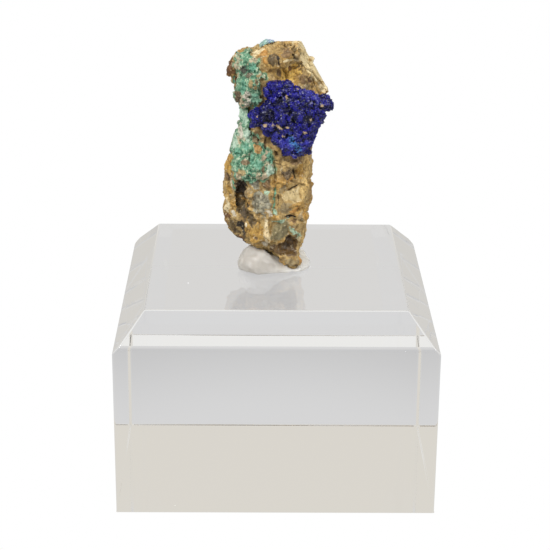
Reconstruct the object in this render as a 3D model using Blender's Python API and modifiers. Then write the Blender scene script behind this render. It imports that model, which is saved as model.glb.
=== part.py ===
"""A thumbnail azurite specimen: blue azurite and green malachite on brown rock, on a clear acrylic block.

The origin is at the middle of the block's underside, +Z is up and the specimen's display side faces -Y.
The specimen's own places are in millimetres from the middle of the block's top face.
"""

import math
import random

import bmesh
import bpy
import numpy as np
from mathutils import Matrix, Vector, noise

MM = 0.001

# The acrylic block: a 1 1/4 inch square with a chamfered top.
BLOCK_SIDE = 31.75 * MM
BLOCK_HEIGHT = 20.6 * MM
CHAMFER_RUN = 3.0 * MM
FRONT_CHAMFER_DROP = 2.67 * MM
SIDE_CHAMFER_DROP = 3.4 * MM
BLOCK_EDGE_BREAK = 0.22 * MM

# Touching pieces keep this gap.
GAP = 0.12 * MM

# The rock's envelope: height above the block, then its left, right, front and back.
ROCK_OUTLINE = (
    (0.45, 1.2, 2.35, -2.3, -0.8),
    (1.4, 0.3, 2.55, -2.5, 0.8),
    (2.4, -1.6, 2.7, -2.7, 2.0),
    (3.2, -3.4, 2.8, -2.9, 2.8),
    (4.2, -4.9, 3.0, -3.1, 3.2),
    (5.6, -5.4, 3.2, -3.3, 3.4),
    (7.2, -5.2, 3.5, -3.3, 3.5),
    (9.0, -5.0, 3.6, -3.2, 3.6),
    (10.6, -5.2, 3.6, -3.2, 3.7),
    (12.2, -4.5, 3.4, -3.1, 3.7),
    (14.0, -3.75, 3.3, -2.9, 3.6),
    (15.8, -3.3, 3.7, -2.8, 3.5),
    (17.2, -3.3, 4.4, -2.9, 3.5),
    (18.6, -4.0, 5.2, -3.0, 3.4),
    (19.6, -4.7, 4.9, -3.1, 3.3),
    (20.9, -5.2, 4.4, -3.1, 3.2),
    (22.2, -5.1, 3.9, -3.1, 2.8),
    (23.1, -4.6, 3.0, -2.9, 2.2),
    (23.7, -4.0, 2.5, -2.5, 1.4),
)
ROCK_RING_SIDES = 32
ROCK_SQUARENESS = 3.2  # the power of each ring's superellipse: 2 is an ellipse
ROCK_SKIN = 0.34 * MM
ROCK_TRIANGLES = 4300

# Planes that cut the envelope's corners off: a point on each, and its outward direction.
ROCK_CORNERS = {
    "ledge_top_left": ((-2.6, -1.9, 22.5), (-0.22, -0.50, 0.84)),
    "slope_top_left": ((-1.3, 0.2, 23.2), (-0.30, 0.02, 0.95)),
    "corner_top_left": ((-4.7, -1.2, 21.7), (-0.78, -0.40, 0.48)),
    "under_left": ((-3.9, -0.8, 3.5), (-0.60, -0.20, -0.78)),
    "lower_left_edge": ((-4.3, -2.3, 6.0), (-0.72, -0.69, -0.08)),
    "waist_left_edge": ((-3.3, -2.3, 15.5), (-0.70, -0.71, 0.05)),
    "right_edge": ((3.1, -2.5, 9.0), (0.74, -0.67, 0.02)),
    "back": ((0.0, 3.2, 12.0), (0.08, 0.99, 0.08)),
    "back_left": ((-3.5, 2.3, 12.0), (-0.72, 0.68, 0.10)),
    "back_right": ((2.9, 2.4, 13.0), (0.72, 0.68, -0.12)),
    "back_top": ((0.6, 2.1, 22.1), (0.10, 0.66, 0.74)),
    "back_foot": ((0.4, 2.4, 3.6), (-0.10, 0.75, -0.65)),
}

# Chunks of two sizes and a fine waviness on the rock: how far each moves the skin, its size and its seed.
CHUNKS = (
    (0.32, 2.1, 11.0),
    (0.16, 0.95, 5.0),
)
WAVE_HEIGHT = 0.08
WAVE_DENSITY = 0.8
CELL_TILT = 0.9
CELL_STEP = 0.5
PRESS_STRENGTH = 2.5

# Clean breaks, cut after the rock is roughened: a point on each, its reach, and its outward direction.
ROCK_CLEAVAGES = {
    "upper_right": ((3.2, -1.0, 21.77), (6.0, 7.0, 6.0), (0.80, -0.21, 0.56)),
    "upper_right_back": ((3.65, 0.43, 21.85), (6.0, 7.0, 6.0), (0.80, 0.30, 0.505)),
    "top": ((1.4, 0.0, 24.1), (4.0, 7.0, 4.0), (0.03, 0.30, 0.95)),
    "brow": ((2.1, -2.55, 21.4), (1.7, 1.8, 2.1), (-0.42, -0.89, -0.15)),
}

# Hollows (negative) and lumps of the rock: centre, half sizes, and how far the surface moves.
ROCK_RELIEF = {
    "hollow_under_the_brow": ((1.3, -2.6, 20.9), (1.5, 2.0, 1.3), -0.60),
    "dome_on_the_brow": ((1.05, -2.2, 22.7), (0.55, 1.2, 0.5), 0.25),
    "knob_on_the_cleavage": ((3.75, -0.2, 21.9), (0.55, 1.2, 0.7), 0.30),
    "knob_over_the_azurite": ((5.1, -0.7, 18.9), (0.8, 1.4, 0.8), 0.45),
    "nodule_left": ((-0.9, -3.0, 22.0), (0.65, 1.5, 0.75), 0.45),
    "nodule_right": ((-0.1, -3.0, 22.3), (0.75, 1.5, 0.9), 0.75),
    "knob_upper_left": ((-4.9, -0.8, 20.9), (0.8, 1.4, 1.0), 0.45),
    "rib_down_from_it": ((-4.2, -1.8, 19.0), (0.4, 1.2, 1.5), 0.35),
    "groove_beside_it": ((-3.6, -2.6, 19.6), (0.35, 1.2, 1.6), -0.30),
    "waist_left": ((-3.9, -1.6, 17.0), (1.0, 1.8, 0.9), -0.35),
    "brown_patch_left_of_azurite": ((-2.0, -2.8, 14.9), (0.8, 1.2, 1.3), -0.30),
    "seam": ((-0.15, -3.1, 9.4), (0.35, 1.4, 3.4), -0.50),
    "smoky_shaft": ((-3.55, -3.0, 8.3), (0.75, 1.6, 2.2), -0.95),
    "ochre_knob": ((-2.75, -3.2, 9.0), (0.65, 1.3, 0.75), 0.60),
    "quartz_lump": ((-1.35, -3.2, 7.8), (1.05, 1.5, 1.15), 0.45),
    "tan_block_left": ((-3.4, -2.8, 11.7), (1.0, 1.5, 0.9), 0.25),
    "shoulder_below_azurite": ((2.0, -3.1, 11.9), (1.5, 1.6, 0.7), 0.35),
    "hollow_round_the_lens": ((1.7, -3.1, 10.4), (1.5, 1.5, 0.9), -0.55),
    "lens": ((1.15, -2.8, 10.2), (0.75, 1.6, 0.7), 0.50),
    "crack": ((1.7, -3.2, 9.25), (1.2, 1.2, 0.22), -0.30),
    "groove_over_the_knob": ((1.5, -3.1, 6.0), (1.3, 1.2, 0.35), -0.60),
    "knob_right": ((2.65, -2.6, 5.9), (0.6, 1.4, 0.95), 0.40),
    "light_rib": ((-0.9, -3.1, 4.7), (0.38, 1.3, 1.9), 0.45),
    "ochre_block": ((-2.0, -3.2, 4.4), (0.95, 1.5, 1.6), 0.35),
    "cavity_at_the_foot": ((1.2, -2.7, 2.9), (1.2, 1.8, 1.25), -1.10),
    "rim_of_the_cavity": ((2.7, -2.3, 3.0), (0.4, 1.4, 1.8), 0.30),
    "pit_back_high": ((-1.2, 3.3, 18.0), (1.7, 1.6, 1.3), -0.9),
    "ledge_back": ((0.8, 3.3, 14.3), (2.4, 1.6, 0.8), 0.5),
    "pit_back_low": ((1.0, 3.3, 8.0), (1.5, 1.6, 2.0), -0.8),
    "rib_back": ((-2.0, 3.2, 9.0), (0.8, 1.5, 3.2), 0.55),
}

# Smooth faces inside the rougher rock: a point on each, its half sizes, and its outward direction.
ROCK_FACETS = {
    "tan_face": ((1.75, -3.2, 8.0), (1.9, 1.5, 1.15), (0.10, -0.98, 0.14)),
    "grey_face": ((1.2, -3.05, 6.7), (1.3, 1.5, 0.7), (0.05, -0.92, -0.38)),
    "glassy_face": ((0.45, -3.0, 4.5), (1.2, 1.5, 1.35), (0.38, -0.90, -0.20)),
    "ochre_face": ((-2.05, -3.4, 4.3), (1.0, 1.5, 1.7), (-0.10, -0.99, -0.05)),
    "dark_left_face": ((-3.95, -2.2, 4.9), (1.1, 1.7, 1.4), (-0.60, -0.66, -0.45)),
    "quartz_face": ((-1.35, -3.5, 7.7), (0.9, 1.3, 0.9), (0.15, -0.97, 0.18)),
    "ledge_face": ((-2.2, -1.9, 22.6), (1.3, 1.2, 0.8), (-0.15, -0.60, 0.78)),
    "left_flank": ((-5.2, 0.4, 8.0), (1.4, 2.4, 3.0), (-0.98, 0.05, 0.05)),
    "right_flank": ((3.5, 0.6, 11.5), (1.4, 2.4, 3.2), (0.98, 0.08, 0.10)),
    "back_face": ((0.6, 3.1, 18.5), (2.4, 1.6, 2.4), (0.20, 0.96, 0.10)),
}

# The azurite's lumps: centre and radius.
AZURITE_LUMPS = (
    ((-0.25, -2.9, 19.55), 1.00),
    ((1.00, -3.1, 19.20), 1.05),
    ((2.50, -3.1, 18.75), 1.15),
    ((3.85, -2.6, 18.25), 1.10),
    ((4.75, -1.9, 17.75), 0.80),
    ((2.20, -3.6, 17.40), 1.25),
    ((3.55, -2.9, 16.75), 1.10),
    ((0.55, -3.4, 17.65), 1.15),
    ((-0.85, -3.1, 17.20), 0.95),
    ((-1.90, -3.0, 16.75), 0.80),
    ((-0.85, -3.1, 15.95), 0.80),
    ((0.70, -3.4, 16.00), 1.05),
    ((2.30, -3.4, 15.60), 1.15),
    ((3.05, -2.9, 15.00), 0.85),
    ((0.35, -3.4, 14.75), 0.80),
    ((1.50, -3.6, 14.00), 1.05),
    ((2.55, -3.2, 13.90), 0.92),
)
TOP_SPOT_LUMPS = (
    ((-1.60, -0.45, 23.25), 0.52),
    ((-0.95, -0.35, 23.50), 0.62),
    ((-0.35, -0.45, 23.55), 0.50),
)
LUMP_SKIN = 0.55 * MM
CRYSTAL_SIDES = 4
CRYSTAL_LENGTH = 1.0 * MM
CRYSTAL_WIDTH = 0.68 * MM
CRYSTAL_FLATNESS = 0.50
CRYSTAL_SPACING = 0.74 * MM
CRYSTAL_SINK = 0.55  # the share of a crystal's length that lies inside its lump
CRYSTAL_TIP = 0.55  # how wide its tip is, as a share of its root
CRYSTAL_LEAN = 0.5
CRYSTAL_LENGTHS = (0.7, 1.15)
CRYSTAL_WIDTHS = (0.8, 1.25)
CRYSTAL_CLEAR_OF_ROCK = 0.35 * MM

# Where the malachite crust lies on the rock: height, then its left and right edges.
MALACHITE_EDGES = (
    (10.0, -3.7, -2.6),
    (10.6, -4.1, -0.5),
    (12.4, -4.3, -0.3),
    (13.2, -6.0, -0.5),
    (14.0, -6.0, -1.9),
    (15.4, -6.0, -2.5),
    (17.0, -6.0, -2.6),
    (17.8, -4.6, -2.0),
    (18.6, -3.9, -1.2),
    (20.6, -3.9, -0.9),
    (21.6, -4.0, -1.5),
    (22.7, -3.9, -2.6),
)
MALACHITE_BACK = 0.6
MALACHITE_CLEAR_OF_AZURITE = 0.55
MALACHITE_THICKNESS = 0.60 * MM
MALACHITE_FACES = 480  # on each of the crust's two sides
MALACHITE_WANDER = 0.35
MALACHITE_WANDER_DENSITY = 0.9
MALACHITE_LUMP_DENSITIES = (1.1, 2.3)
MALACHITE_FINE_SHARE = 0.6
MALACHITE_RIM_WEIGHT = 0.15
MALACHITE_BASE_WEIGHT = 0.35
MALACHITE_LUMP_WEIGHT = 1.3
MALACHITE_LIFT = 1.3 * GAP
MALACHITE_RIM_TRIMS = 3
MALACHITE_RIM_SMOOTHINGS = 10

# The tack that holds the specimen: lumps pressed onto the block, with their centres and half sizes.
TACK_LUMPS = {
    "pad": ((-0.15, -0.1, 0.0), (3.9, 3.35, 1.3)),
    "lip_front_left": ((-1.7, -1.35, 0.3), (2.3, 2.0, 2.5)),
    "lip_back": ((0.4, 1.0, 0.3), (2.9, 2.1, 1.8)),
}
TACK_SKIN = 0.30 * MM
TACK_TRIANGLES = 320
TACK_SMOOTHINGS = 8


def new_collection(name):
    """An empty collection in the scene."""
    group = bpy.data.collections.new(name)
    bpy.context.scene.collection.children.link(group)
    return group


def new_material(name, colour, roughness, metallic=0.0, transmission=0.0):
    """A Principled material."""
    material = bpy.data.materials.new(name)
    material.use_nodes = True
    shader = material.node_tree.nodes["Principled BSDF"]
    shader.inputs["Base Color"].default_value = (*colour, 1.0)
    shader.inputs["Roughness"].default_value = roughness
    shader.inputs["Metallic"].default_value = metallic
    shader.inputs["Transmission Weight"].default_value = transmission
    return material


def add_object(name, bm, group, material=None):
    """A named object made from a bmesh, which is freed."""
    bmesh.ops.recalc_face_normals(bm, faces=bm.faces)
    mesh = bpy.data.meshes.new(name)
    bm.to_mesh(mesh)
    bm.free()
    obj = bpy.data.objects.new(name, mesh)
    group.objects.link(obj)
    if material:
        mesh.materials.append(material)
    return obj


def add_helper(name, bm, group):
    """A cutter or a guide, which isn't a piece of the object."""
    helper = add_object(name, bm, group)
    helper.hide_render = True
    helper.display_type = "WIRE"
    return helper


def evaluated_bmesh(obj):
    """A bmesh of the object with its modifiers."""
    bpy.context.view_layer.update()
    shown = obj.evaluated_get(bpy.context.evaluated_depsgraph_get())
    mesh = bpy.data.meshes.new_from_object(shown)
    bm = bmesh.new()
    bm.from_mesh(mesh)
    bpy.data.meshes.remove(mesh)
    bm.normal_update()
    return bm


def add_remesh(obj, skin):
    """Fuses the object's shells into one skin of even faces of this size."""
    remesh = obj.modifiers.new("even_skin", "REMESH")
    remesh.mode = "VOXEL"
    remesh.voxel_size = skin


def add_decimate(obj, triangles):
    """Keeps about this many triangles, most of them where the shape turns."""
    bm = evaluated_bmesh(obj)
    present = sum(len(face.verts) - 2 for face in bm.faces)
    bm.free()
    decimate = obj.modifiers.new("fewer_faces", "DECIMATE")
    decimate.ratio = min(1.0, triangles / present)
    decimate.use_collapse_triangulate = True


def add_boolean(obj, other, operation, use_self=False):
    """Joins a helper to the object, or cuts the object with it."""
    boolean = obj.modifiers.new(operation.lower(), "BOOLEAN")
    boolean.operation = operation
    boolean.object = other
    boolean.solver = "EXACT"
    boolean.use_self = use_self


def vertex_normals(bm):
    """Each vertex's outward direction."""
    return [v.normal.copy() for v in bm.verts]


def neighbours(vert):
    """The vertices joined to this one by an edge."""
    return [edge.other_vert(vert) for edge in vert.link_edges]


def broken_stone(place, size, seed):
    """A height from about -1 to 1: flat and tilted inside each cell, with a step from cell to cell."""
    scaled = place / size + Vector((seed, seed, seed))
    middle = noise.voronoi(scaled)[1][0]
    tilt = noise.cell_vector(middle * 7.3)
    return CELL_STEP * noise.cell(middle * 3.1) + CELL_TILT * tilt.dot(scaled - middle)


def bell(place, centre, half_sizes):
    """1 at the centre, falling smoothly to 0 at the half sizes."""
    reach = sum(((p - c) / h) ** 2 for p, c, h in zip(place, centre, half_sizes))
    return max(0.0, 1.0 - reach) ** 1.5


# ---------------------------------------------------------------- block


def slice_off(bm, point, direction):
    """Removes what lies beyond a plane, and closes the cut."""
    geometry = bm.verts[:] + bm.edges[:] + bm.faces[:]
    cut = bmesh.ops.bisect_plane(
        bm, geom=geometry, plane_co=point, plane_no=direction, clear_outer=True, dist=1e-7
    )
    rim = [e for e in cut["geom_cut"] if isinstance(e, bmesh.types.BMEdge)]
    bmesh.ops.edgenet_fill(bm, edges=rim)


def build_block(group, material):
    """The cast block: four chamfered top edges, the side ones deeper, and every edge softly broken."""
    bm = bmesh.new()
    size = Matrix.Diagonal((BLOCK_SIDE, BLOCK_SIDE, BLOCK_HEIGHT, 1.0))
    bmesh.ops.create_cube(bm, size=1.0, matrix=Matrix.Translation((0, 0, BLOCK_HEIGHT / 2)) @ size)
    half = BLOCK_SIDE / 2
    for sign in (-1, 1):
        side = Vector((sign * SIDE_CHAMFER_DROP, 0, CHAMFER_RUN))
        slice_off(bm, Vector((sign * half, 0, BLOCK_HEIGHT - SIDE_CHAMFER_DROP)), side.normalized())
        front = Vector((0, sign * FRONT_CHAMFER_DROP, CHAMFER_RUN))
        slice_off(bm, Vector((0, sign * half, BLOCK_HEIGHT - FRONT_CHAMFER_DROP)), front.normalized())
    bmesh.ops.bevel(
        bm, geom=bm.edges[:], offset=BLOCK_EDGE_BREAK, segments=1, affect="EDGES", clamp_overlap=True
    )
    return add_object("acrylic_block", bm, group, material)


# ----------------------------------------------------------------- rock


def ring_matrix(row):
    """Where a unit ring goes for one row of the outline."""
    height, left, right, front, back = (value * MM for value in row)
    middle = Vector(((left + right) / 2, (front + back) / 2, height))
    return Matrix.Translation(middle) @ Matrix.Diagonal(((right - left) / 2, (back - front) / 2, 1.0, 1.0))


def rock_cage():
    """Squarish rings along the outline, joined by bridges and capped at both ends."""
    bm = bmesh.new()
    rings = []
    for row in ROCK_OUTLINE:
        is_end = row in (ROCK_OUTLINE[0], ROCK_OUTLINE[-1])
        ring = bmesh.ops.create_circle(bm, cap_ends=is_end, segments=ROCK_RING_SIDES, radius=1.0)["verts"]
        for vert in ring:
            for axis in (0, 1):
                side = vert.co[axis]
                vert.co[axis] = math.copysign(abs(side) ** (2.0 / ROCK_SQUARENESS), side)
        bmesh.ops.transform(bm, matrix=ring_matrix(row), verts=ring)
        corners = set(ring)
        rings.append([e for e in bm.edges if e.verts[0] in corners and e.verts[1] in corners])
    for lower, upper in zip(rings, rings[1:]):
        bmesh.ops.bridge_loops(bm, edges=lower + upper)
    return bm


def cut_corners(bm):
    """Presses whatever lies beyond a corner plane back to it."""
    for point, direction in ROCK_CORNERS.values():
        outward = Vector(direction).normalized()
        for vert in bm.verts:
            beyond = (vert.co - Vector(point) * MM).dot(outward)
            vert.co -= outward * max(0.0, beyond)


def roughen(bm):
    """Chunks of two sizes and a fine waviness."""
    for vert, normal in zip(bm.verts, vertex_normals(bm)):
        place = vert.co / MM
        move = sum(height * broken_stone(place, size, seed) for height, size, seed in CHUNKS)
        wave = WAVE_HEIGHT * noise.fractal(place * WAVE_DENSITY, 1.0, 2.0, 3)
        vert.co += normal * (move + wave) * MM


def raise_relief(bm):
    """The named hollows and lumps."""
    for vert, normal in zip(bm.verts, vertex_normals(bm)):
        place = vert.co / MM
        move = sum(height * bell(place, centre, half) for centre, half, height in ROCK_RELIEF.values())
        vert.co += normal * move * MM


def press_flat(bm, faces, only_from_outside):
    """Presses the surface round each face's middle onto that face's plane."""
    for centre, half_sizes, direction in faces.values():
        outward = Vector(direction).normalized()
        for vert in bm.verts:
            beyond = (vert.co - Vector(centre) * MM).dot(outward)
            if beyond > 0 or not only_from_outside:
                hold = min(1.0, PRESS_STRENGTH * bell(vert.co / MM, centre, half_sizes))
                vert.co -= outward * hold * beyond
    bm.normal_update()


def build_rock(group, helpers, material):
    """The matrix: one broken piece of iron-stained rock, narrow at the foot and square at the head."""
    cage = add_helper("rock_cage", rock_cage(), helpers)
    add_remesh(cage, ROCK_SKIN)
    bm = evaluated_bmesh(cage)
    cut_corners(bm)
    bm.normal_update()
    roughen(bm)
    press_flat(bm, ROCK_CLEAVAGES, only_from_outside=True)
    raise_relief(bm)
    press_flat(bm, ROCK_FACETS, only_from_outside=False)
    rock = add_object("rock_matrix", bm, group, material)
    add_decimate(rock, ROCK_TRIANGLES)
    return rock


def swollen_copy(obj, name, distance, helpers):
    """A helper that is the object swollen by a distance, to cut its neighbours with."""
    bm = evaluated_bmesh(obj)
    for vert, normal in zip(bm.verts, vertex_normals(bm)):
        vert.co += normal * distance
    return add_helper(name, bm, helpers)


# -------------------------------------------------------------- azurite


def lump_bmesh(lumps):
    """A small sphere at each lump's place."""
    bm = bmesh.new()
    for centre, radius in lumps:
        place = Matrix.Translation(Vector(centre) * MM)
        bmesh.ops.create_icosphere(bm, subdivisions=3, radius=radius * MM, matrix=place)
    return bm


def crystal_sites(bm, stands_clear, rng):
    """Places on the lumps' open side, the spacing apart, with the surface's direction at each."""
    faces = bm.faces[:]
    rng.shuffle(faces)
    sites = []
    for face in faces:
        middle = face.calc_center_median()
        is_free = all((middle - other).length > CRYSTAL_SPACING for other, _ in sites)
        if is_free and stands_clear(middle):
            sites.append((middle, face.normal.copy()))
    return sites


def crystal_bmesh(sites, rng):
    """One tapered, flattened, blocky crystal at each site, leaning a little from the surface's direction."""
    bm = bmesh.new()
    for middle, normal in sites:
        lean = Vector([rng.uniform(-1, 1) for _ in range(3)]) * CRYSTAL_LEAN
        upright = (normal + lean).to_track_quat("Z", "X").to_matrix().to_4x4()
        length = CRYSTAL_LENGTH * rng.uniform(*CRYSTAL_LENGTHS)
        width = CRYSTAL_WIDTH * rng.uniform(*CRYSTAL_WIDTHS)
        spin = Matrix.Rotation(rng.uniform(0, math.tau), 4, "Z")
        shape = Matrix.Diagonal((1.0, CRYSTAL_FLATNESS, 1.0, 1.0))
        rise = Matrix.Translation((0, 0, length * (0.5 - CRYSTAL_SINK)))
        bmesh.ops.create_cone(
            bm,
            cap_ends=True,
            segments=CRYSTAL_SIDES,
            radius1=width,
            radius2=width * CRYSTAL_TIP,
            depth=length,
            matrix=Matrix.Translation(middle) @ upright @ spin @ shape @ rise,
        )
    return bm


def build_azurite(name, lumps, seed, rock, swollen_rock, group, helpers, material):
    """Fused lumps bristling with crystals, cut to fit the rock behind them."""
    body = add_helper(name + "_lumps", lump_bmesh(lumps), helpers)
    add_remesh(body, LUMP_SKIN)
    skin = evaluated_bmesh(body)

    def stands_clear(place):
        found, near, normal, _ = rock.closest_point_on_mesh(place)
        return found and (place - near).dot(normal) > CRYSTAL_CLEAR_OF_ROCK

    rng = random.Random(seed)
    crystals = crystal_bmesh(crystal_sites(skin, stands_clear, rng), rng)
    crystals = add_helper(name + "_crystals", crystals, helpers)
    cluster = add_object(name, skin, group, material)
    add_boolean(cluster, crystals, "UNION", use_self=True)
    add_boolean(cluster, swollen_rock, "DIFFERENCE")
    return cluster


# ------------------------------------------------------------ malachite


def is_malachite(place):
    """Whether the crust covers this place of the rock, in millimetres."""
    wander = MALACHITE_WANDER * noise.noise(place * MALACHITE_WANDER_DENSITY)
    heights, lefts, rights = zip(*MALACHITE_EDGES)
    height = place.z + wander
    if not heights[0] < height < heights[-1] or place.y + wander > MALACHITE_BACK:
        return False
    left, right = np.interp(height, heights, lefts), np.interp(height, heights, rights)
    if not left < place.x + wander < right:
        return False
    return all((place - Vector(c)).length > r + MALACHITE_CLEAR_OF_AZURITE for c, r in AZURITE_LUMPS)


def largest_island(bm):
    """The largest group of joined faces."""
    left, largest = set(bm.faces), set()
    while left:
        island, frontier = set(), [left.pop()]
        while frontier:
            face = frontier.pop()
            island.add(face)
            near = {other for edge in face.edges for other in edge.link_faces} & left
            left -= near
            frontier.extend(near)
        largest = max(largest, island, key=len)
    return largest


def build_malachite(rock, group, material):
    """A lumpy crust: the rock's own surface there, lifted clear and thickened outward, thin at its rim."""
    bm = evaluated_bmesh(rock)
    bmesh.ops.subdivide_edges(bm, edges=bm.edges, cuts=1, use_grid_fill=True)
    bare = [f for f in bm.faces if not is_malachite(f.calc_center_median() / MM)]
    bmesh.ops.delete(bm, geom=bare, context="FACES")
    for _ in range(MALACHITE_RIM_TRIMS):
        teeth = [f for f in bm.faces if sum(edge.is_boundary for edge in f.edges) > 1]
        bmesh.ops.delete(bm, geom=teeth, context="FACES")
    kept = largest_island(bm)
    bmesh.ops.delete(bm, geom=[f for f in bm.faces if f not in kept], context="FACES")
    for _ in range(MALACHITE_RIM_SMOOTHINGS):
        bmesh.ops.smooth_vert(bm, verts=[v for v in bm.verts if v.is_boundary], factor=0.5)
    bm.normal_update()
    weights = bm.verts.layers.deform.verify()
    for vert in bm.verts:
        coarse, fine = (abs(noise.noise(vert.co / MM * density)) for density in MALACHITE_LUMP_DENSITIES)
        lumps = MALACHITE_BASE_WEIGHT + MALACHITE_LUMP_WEIGHT * (coarse + MALACHITE_FINE_SHARE * fine)
        is_rim = vert.is_boundary or any(v.is_boundary for v in neighbours(vert))
        vert[weights][0] = MALACHITE_RIM_WEIGHT if is_rim else min(1.0, lumps)
    for vert, normal in zip(bm.verts, vertex_normals(bm)):
        vert.co += normal * MALACHITE_LIFT
    crust = add_object("malachite_crust", bm, group, material)
    crust.vertex_groups.new(name="lumps")
    add_decimate(crust, MALACHITE_FACES)
    solidify = crust.modifiers.new("thickness", "SOLIDIFY")
    solidify.thickness = MALACHITE_THICKNESS
    solidify.offset = 1.0
    solidify.vertex_group = "lumps"
    return crust


# ----------------------------------------------------------------- tack


def build_tack(swollen_rock, group, helpers, material):
    """A soft pad pressed flat on the block and up around the specimen's foot."""
    bm = bmesh.new()
    for centre, half_sizes in TACK_LUMPS.values():
        shape = Matrix.Diagonal((*(Vector(half_sizes) * MM), 1.0))
        bmesh.ops.create_icosphere(
            bm, subdivisions=3, radius=1.0, matrix=Matrix.Translation(Vector(centre) * MM) @ shape
        )
    guide = add_helper("tack_lumps", bm, helpers)
    add_remesh(guide, TACK_SKIN)
    bm = evaluated_bmesh(guide)
    for _ in range(TACK_SMOOTHINGS):
        bmesh.ops.smooth_vert(bm, verts=bm.verts, factor=0.5)
    slice_off(bm, Vector((0, 0, GAP)), Vector((0, 0, -1)))
    tack = add_object("mounting_tack", bm, group, material)
    add_decimate(tack, TACK_TRIANGLES)
    add_boolean(tack, swollen_rock, "DIFFERENCE")
    return tack


def main():
    for obj in list(bpy.data.objects):
        bpy.data.objects.remove(obj)
    group = new_collection("azurite_specimen")
    helpers = new_collection("cutters_and_guides")
    acrylic = new_material("clear_acrylic", (0.97, 0.97, 0.96), 0.03, transmission=1.0)
    stone = new_material("iron_stained_rock", (0.45, 0.31, 0.15), 0.85)
    blue = new_material("azurite_blue", (0.03, 0.03, 0.30), 0.35)
    green = new_material("malachite_green", (0.22, 0.55, 0.38), 0.65)
    white = new_material("tack_white", (0.82, 0.79, 0.74), 0.40)

    build_block(group, acrylic)
    rock = build_rock(group, helpers, stone)
    swollen_rock = swollen_copy(rock, "swollen_rock", GAP, helpers)
    around = (rock, swollen_rock, group, helpers, blue)
    build_azurite("azurite_cluster", AZURITE_LUMPS, 4, *around)
    build_azurite("azurite_top_spot", TOP_SPOT_LUMPS, 7, *around)
    build_malachite(rock, group, green)
    build_tack(swollen_rock, group, helpers, white)
    for obj in [*group.objects, *helpers.objects]:
        if obj.name != "acrylic_block":
            obj.location.z = BLOCK_HEIGHT


main()
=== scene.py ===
import math

import bmesh
import bpy
import numpy as np
from mathutils import Matrix, Vector, kdtree, noise


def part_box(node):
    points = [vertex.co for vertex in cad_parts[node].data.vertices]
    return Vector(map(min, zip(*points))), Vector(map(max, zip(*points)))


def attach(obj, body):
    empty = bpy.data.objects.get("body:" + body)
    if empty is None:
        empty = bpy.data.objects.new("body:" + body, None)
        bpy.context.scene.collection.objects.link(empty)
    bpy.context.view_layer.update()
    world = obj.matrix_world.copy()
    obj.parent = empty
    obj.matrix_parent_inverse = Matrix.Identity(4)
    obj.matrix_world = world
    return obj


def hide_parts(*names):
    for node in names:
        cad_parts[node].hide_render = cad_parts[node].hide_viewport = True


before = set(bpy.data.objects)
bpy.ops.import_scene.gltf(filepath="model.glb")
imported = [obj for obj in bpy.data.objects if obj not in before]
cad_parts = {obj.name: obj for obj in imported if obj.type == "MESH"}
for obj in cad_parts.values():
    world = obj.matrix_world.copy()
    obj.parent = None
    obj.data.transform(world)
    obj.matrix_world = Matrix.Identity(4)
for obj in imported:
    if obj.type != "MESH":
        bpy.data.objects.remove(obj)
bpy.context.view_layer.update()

# ------------------------------------------------------------
# Display block. One piece of clear cast acrylic, sawn square, its top edges
# milled to wide chamfers and every face diamond polished. It stands on its
# flat underside and carries everything else.

MM = 0.001
BLOCK_SIDE = 31.75 * MM
BLOCK_HEIGHT = 20.6 * MM
CHAMFER_RUN = 3.0 * MM
END_DROP = 2.67 * MM
SIDE_DROP = 3.4 * MM
FOOT_ROUND = 0.10 * MM
WALL_ROUND = 0.36 * MM
TOP_ROUND = 0.18 * MM
BLOCK_IOR = 1.49
EDGE_REACH = 0.2 * MM
# dust: cells to a metre, size of a grain in its cell, share of the cells that hold one
DUST_SCALE = 900.0
DUST_SIZE = 0.085
DUST_SHARE = 0.10
WHITE = (1.0, 1.0, 1.0)


class Amount:
    """A shader socket that can be used in sums: each sum adds a Math node."""

    def __init__(self, finish, socket):
        self.finish, self.socket = finish, socket

    def sum(self, operation, first, second):
        return self.finish.add("ShaderNodeMath", {"operation": operation}, {0: first, 1: second})

    def __add__(self, other):
        return self.sum("ADD", self, other)

    __radd__ = __add__

    def __sub__(self, other):
        return self.sum("SUBTRACT", self, other)

    def __rsub__(self, other):
        return self.sum("SUBTRACT", other, self)

    def __mul__(self, other):
        return self.sum("MULTIPLY", self, other)

    __rmul__ = __mul__

    def toward(self, share, colour, blend="MIX"):
        """This colour, taken that share of the way to another."""
        return self.finish.mix(share, self, colour, blend)


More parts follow.
